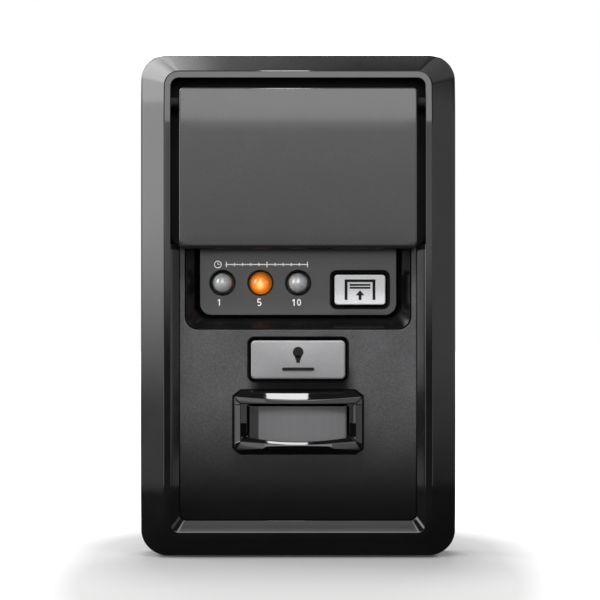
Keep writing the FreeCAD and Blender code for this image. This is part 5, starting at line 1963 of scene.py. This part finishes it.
@dataclass(frozen=True)
class Layer:
    """A layer of the light above: its level left of a share of X, and nothing right of another."""

    level: float
    left: float
    right: float


@dataclass(frozen=True)
class Strip:
    """A rectangular light that faces down, or is tilted about X."""

    name: str
    level: float
    size: Pair
    centre: Triple
    tilt: float = 0.0
    mirrored: bool = True

    def build(self) -> None:
        """Its power is its level times pi times its area, so a mirror shows it at that level."""
        data = bpy.data.lights.new(self.name, "AREA")
        data.shape = "RECTANGLE"
        data.size = self.size[0] * MM
        data.size_y = self.size[1] * MM
        data.energy = self.level * math.pi * data.size * data.size_y
        light = added(self.name, data)
        light.location = tuple(part * MM for part in self.centre)
        light.rotation_euler = (math.radians(self.tilt), 0, 0)
        light.visible_camera = False
        light.visible_glossy = self.mirrored


@dataclass
class Floor:
    """The pale floor: its colour, the object's foot on it, and where its camera-only glow, painted light,
    begins and ends.
    """

    half: float = 2.0
    albedo: float = 0.09
    roughness: float = 0.9
    foot_side: float = 34.0
    foot_depth: Pair = (9.5, 3.5)
    sideways: float = 2.2
    near_painted_light: Triple = (0.17, 0, 7)
    far_painted_light: Triple = (0.2, 7, 70)
    white: Pair = (50, 130)
    white_side: float = 1.5
    white_ahead: float = 0.5
    white_behind: float = 1.5

    def outside_of_foot(self, nodes: Nodes) -> Socket:
        """How far a floor point is outside the object's foot; sideways counts double.

        Args:
            nodes: the floor's nodes.

        Returns:
            The distance.
        """
        side, depth, _ = nodes.spot()
        middle, reach = self.foot_depth
        beside = nodes.math("SUBTRACT", nodes.math("ABSOLUTE", side), self.foot_side)
        ahead = nodes.math("SUBTRACT", nodes.math("ABSOLUTE", nodes.math("SUBTRACT", depth, middle)), reach)
        return nodes.length(nodes.math("MAXIMUM", nodes.product(beside, self.sideways), 0.0),
                            nodes.math("MAXIMUM", ahead, 0.0))

    def away(self, nodes: Nodes) -> Socket:
        """How far a floor point is from the middle, with its own measure to the side, ahead and behind.

        Args:
            nodes: the floor's nodes.

        Returns:
            The distance.
        """
        side, depth, _ = nodes.spot()
        ahead = nodes.product(nodes.math("MAXIMUM", depth, 0.0), self.white_ahead)
        behind = nodes.product(nodes.math("MINIMUM", depth, 0.0), self.white_behind)
        return nodes.length(nodes.product(side, self.white_side), nodes.math("ADD", ahead, behind))

    def build(self) -> None:
        """A floor whose shadow round the object is partly real and partly painted, going over into the white
        surround.
        """
        low = CAD_BOUNDS[0].z
        half = self.half
        mesh = bpy.data.meshes.new("floor")
        mesh.from_pydata([(-half, -half, low), (half, -half, low), (half, half, low), (-half, half, low)], [],
                         [(0, 1, 2, 3)])
        floor = added("floor", mesh)
        nodes = Surface("pale_floor")
        outside = self.outside_of_foot(nodes)
        # Painted light: a camera-only glow that grows with distance from the foot, so the shade there is
        # partly a painted shadow
        near, far = (nodes.spread(outside, 0, *glow) for glow in (self.near_painted_light, self.far_painted_light))
        white = nodes.spread(self.away(nodes), 0, 1, *self.white)
        glow = nodes.math("MAXIMUM", nodes.math("ADD", near, far), white)
        nodes.shade({
            "Base Color": (self.albedo, self.albedo, self.albedo, 1),
            "Roughness": self.roughness,
            "Emission Color": (1, 1, 1, 1),
            "Emission Strength": nodes.product(nodes.node("LightPath").outputs["Is Camera Ray"], glow),
        })
        mesh.materials.append(nodes.material)
        floor.visible_glossy = False


@dataclass
class Studio:
    """Camera, sky of light cards, strip lights, floor and white surround."""

    camera_side: float = 0.48
    camera_up: float = 1.33
    camera_distance: float = 500.0
    plane_depth: float = 18.0
    view_width: float = 152.4
    sensor: float = 36.0
    clip_start: float = 0.01
    ambient: float = 0.06
    cards: tuple[Card, ...] = (
        Card(-22, 22, 6.0, 50, 5.6, low_edge=1.5, high_edge=9),
        Card(-27, 27, -1.6, 8.0, 1.8, low_edge=3.2, high_edge=2.0),
        Card(-81, -48, -4.9, 45, 6.8, side_edge=4, low_edge=8.3, high_edge=20),
        Card(-81, -48, 7.0, 60, 9.3, side_edge=4, low_edge=8, high_edge=20),
        Card(-81, -48, -9, -1, 0.8, side_edge=4, low_edge=4.4, high_edge=2),
        Card(-125, -58, 8, 89, 12.5, side_edge=12, low_edge=26, high_edge=32),
        Card(-60, 60, 42, 75, 1.85, side_edge=20, low_edge=8),
        Card(-16, -5.7, 1.5, 7, 3.3, side_edge=0.4, low_edge=0.5, high_edge=0.5),
        Card(-50.3, -33, -6.4, 7.0, 3.0, side_edge=2, low_edge=0.4, high_edge=2.0),
        Card(33, 60, -6.4, 7.0, 1.25, side_edge=2, low_edge=0.4, high_edge=2.0),
        Card(48, 76, -7.0, 30, 0.95, side_edge=4, low_edge=6.0, high_edge=20),
        Card(72, 84, -7.0, 12, 2.4, side_edge=3, low_edge=6.0, high_edge=6),
        Card(58, 125, 20, 89, 0.9, side_edge=12, low_edge=14, high_edge=4),
        Card(-116, -82, -2.7, 12, 1.9, side_edge=2, low_edge=0.4),
        Card(-116, -82, -6.2, -4.3, 0.9, side_edge=2, low_edge=0.3, high_edge=0.3),
        Card(82, 112, -2.7, 12, 0.45, side_edge=2, low_edge=0.4),
        Card(82, 112, -6.2, -4.3, 0.7, side_edge=2, low_edge=0.3, high_edge=0.3),
    )
    crown: tuple[Layer, ...] = (Layer(7.2, -0.078, -0.034), Layer(0.9, -0.035, 0.03))
    crown_up: Pair = (0.8, 0.95)
    crown_behind: Pair = (0.02, 0.12)
    backdrop_behind: Pair = (0.1, 0.6)
    backdrop_up: Pair = (-0.06, 0.0)
    strips: tuple[Strip, ...] = (
        Strip("overhead_strip", 17, (14.7, 43), (-4.05, -45.5, 150)),
        Strip("back_light", 20, (300, 200), (0, 300, 350), -46),
        Strip("key_light", 150, (90, 24), (0, -95, 200), 19.7, mirrored=False),
    )

    def camera(self) -> None:
        """A level camera in front of the ridge's plane, whose width fills the picture."""
        data = bpy.data.cameras.new("camera")
        data.sensor_width = self.sensor
        data.lens = self.sensor * self.camera_distance / self.view_width
        data.clip_start = self.clip_start
        camera = added("camera", data)
        camera.location = (self.camera_side * MM, -(self.plane_depth + self.camera_distance) * MM,
                           self.camera_up * MM)
        camera.rotation_euler = (math.pi / 2, 0, 0)
        bpy.context.scene.camera = camera

    def sky(self) -> None:
        """A sky that shows white to the camera and lights the object with its cards."""
        world = bpy.data.worlds.new("studio")
        bpy.context.scene.world = world
        nodes = Nodes(world)
        side, back, up = nodes.split(nodes.direction)
        ahead = nodes.product(back, -1.0)
        azimuth, elevation = (nodes.product(angle, 180 / math.pi) for angle in
                              (nodes.math("ARCTAN2", side, ahead), nodes.math("ARCSINE", up)))
        total = self.above(nodes, side, back, up)
        for card in self.cards:
            total = nodes.math("MAXIMUM", total, card.light(nodes, azimuth, elevation))
        behind = nodes.product(nodes.spread(back, 0, 1, *self.backdrop_behind),
                               nodes.spread(up, 0, 1, *self.backdrop_up))
        total = nodes.math("MAXIMUM", nodes.math("ADD", total, self.ambient), behind)
        # What the camera sees is white everywhere; gloss and glass see the white that is behind the object
        path = nodes.node("LightPath").outputs
        clear = nodes.math("ADD", path["Is Glossy Ray"], path["Is Transmission Ray"])
        shown = nodes.math("MAXIMUM", nodes.product(clear, behind), path["Is Camera Ray"])
        lit = nodes.node("Background", {"Strength": total}).outputs[0]
        white = nodes.node("Background", {"Color": (1, 1, 1, 1)}).outputs[0]
        mix = nodes.node("MixShader", {0: shown, 1: lit, 2: white})
        nodes.node("OutputWorld", {"Surface": mix.outputs[0]})

    def above(self, nodes: Nodes, side: Socket, back: Socket, up: Socket) -> Socket:
        """A light high up and a little behind, which fades from left to right in layers.

        Args:
            nodes: the sky's node tree.
            side: the direction's share to the right.
            back: its share to the back.
            up: its share upwards.

        Returns:
            Its level.
        """
        first, second = (nodes.spread(side, layer.level, 0.0, layer.left, layer.right)
                         for layer in self.crown)
        return nodes.product(nodes.math("ADD", first, second), nodes.spread(up, 0, 1, *self.crown_up),
                             nodes.spread(back, 0, 1, *self.crown_behind))

    def build(self) -> None:
        """Set up the whole studio."""
        self.camera()
        self.sky()
        for strip in self.strips:
            strip.build()
        Floor().build()
        bpy.context.scene.view_settings.view_transform = "Standard"


def main() -> None:
    """Build the pieces in order, then the studio."""
    for part in (Housing(), FacePlate(), TimerPanel(), Lamps(), Buttons(), PushBar(), Hood()):
        part.build()
        LOG.info("%s is built", type(part).__name__)
    dress_cad_nodes()
    Studio().build()


if __name__ == "__main__":
    main()
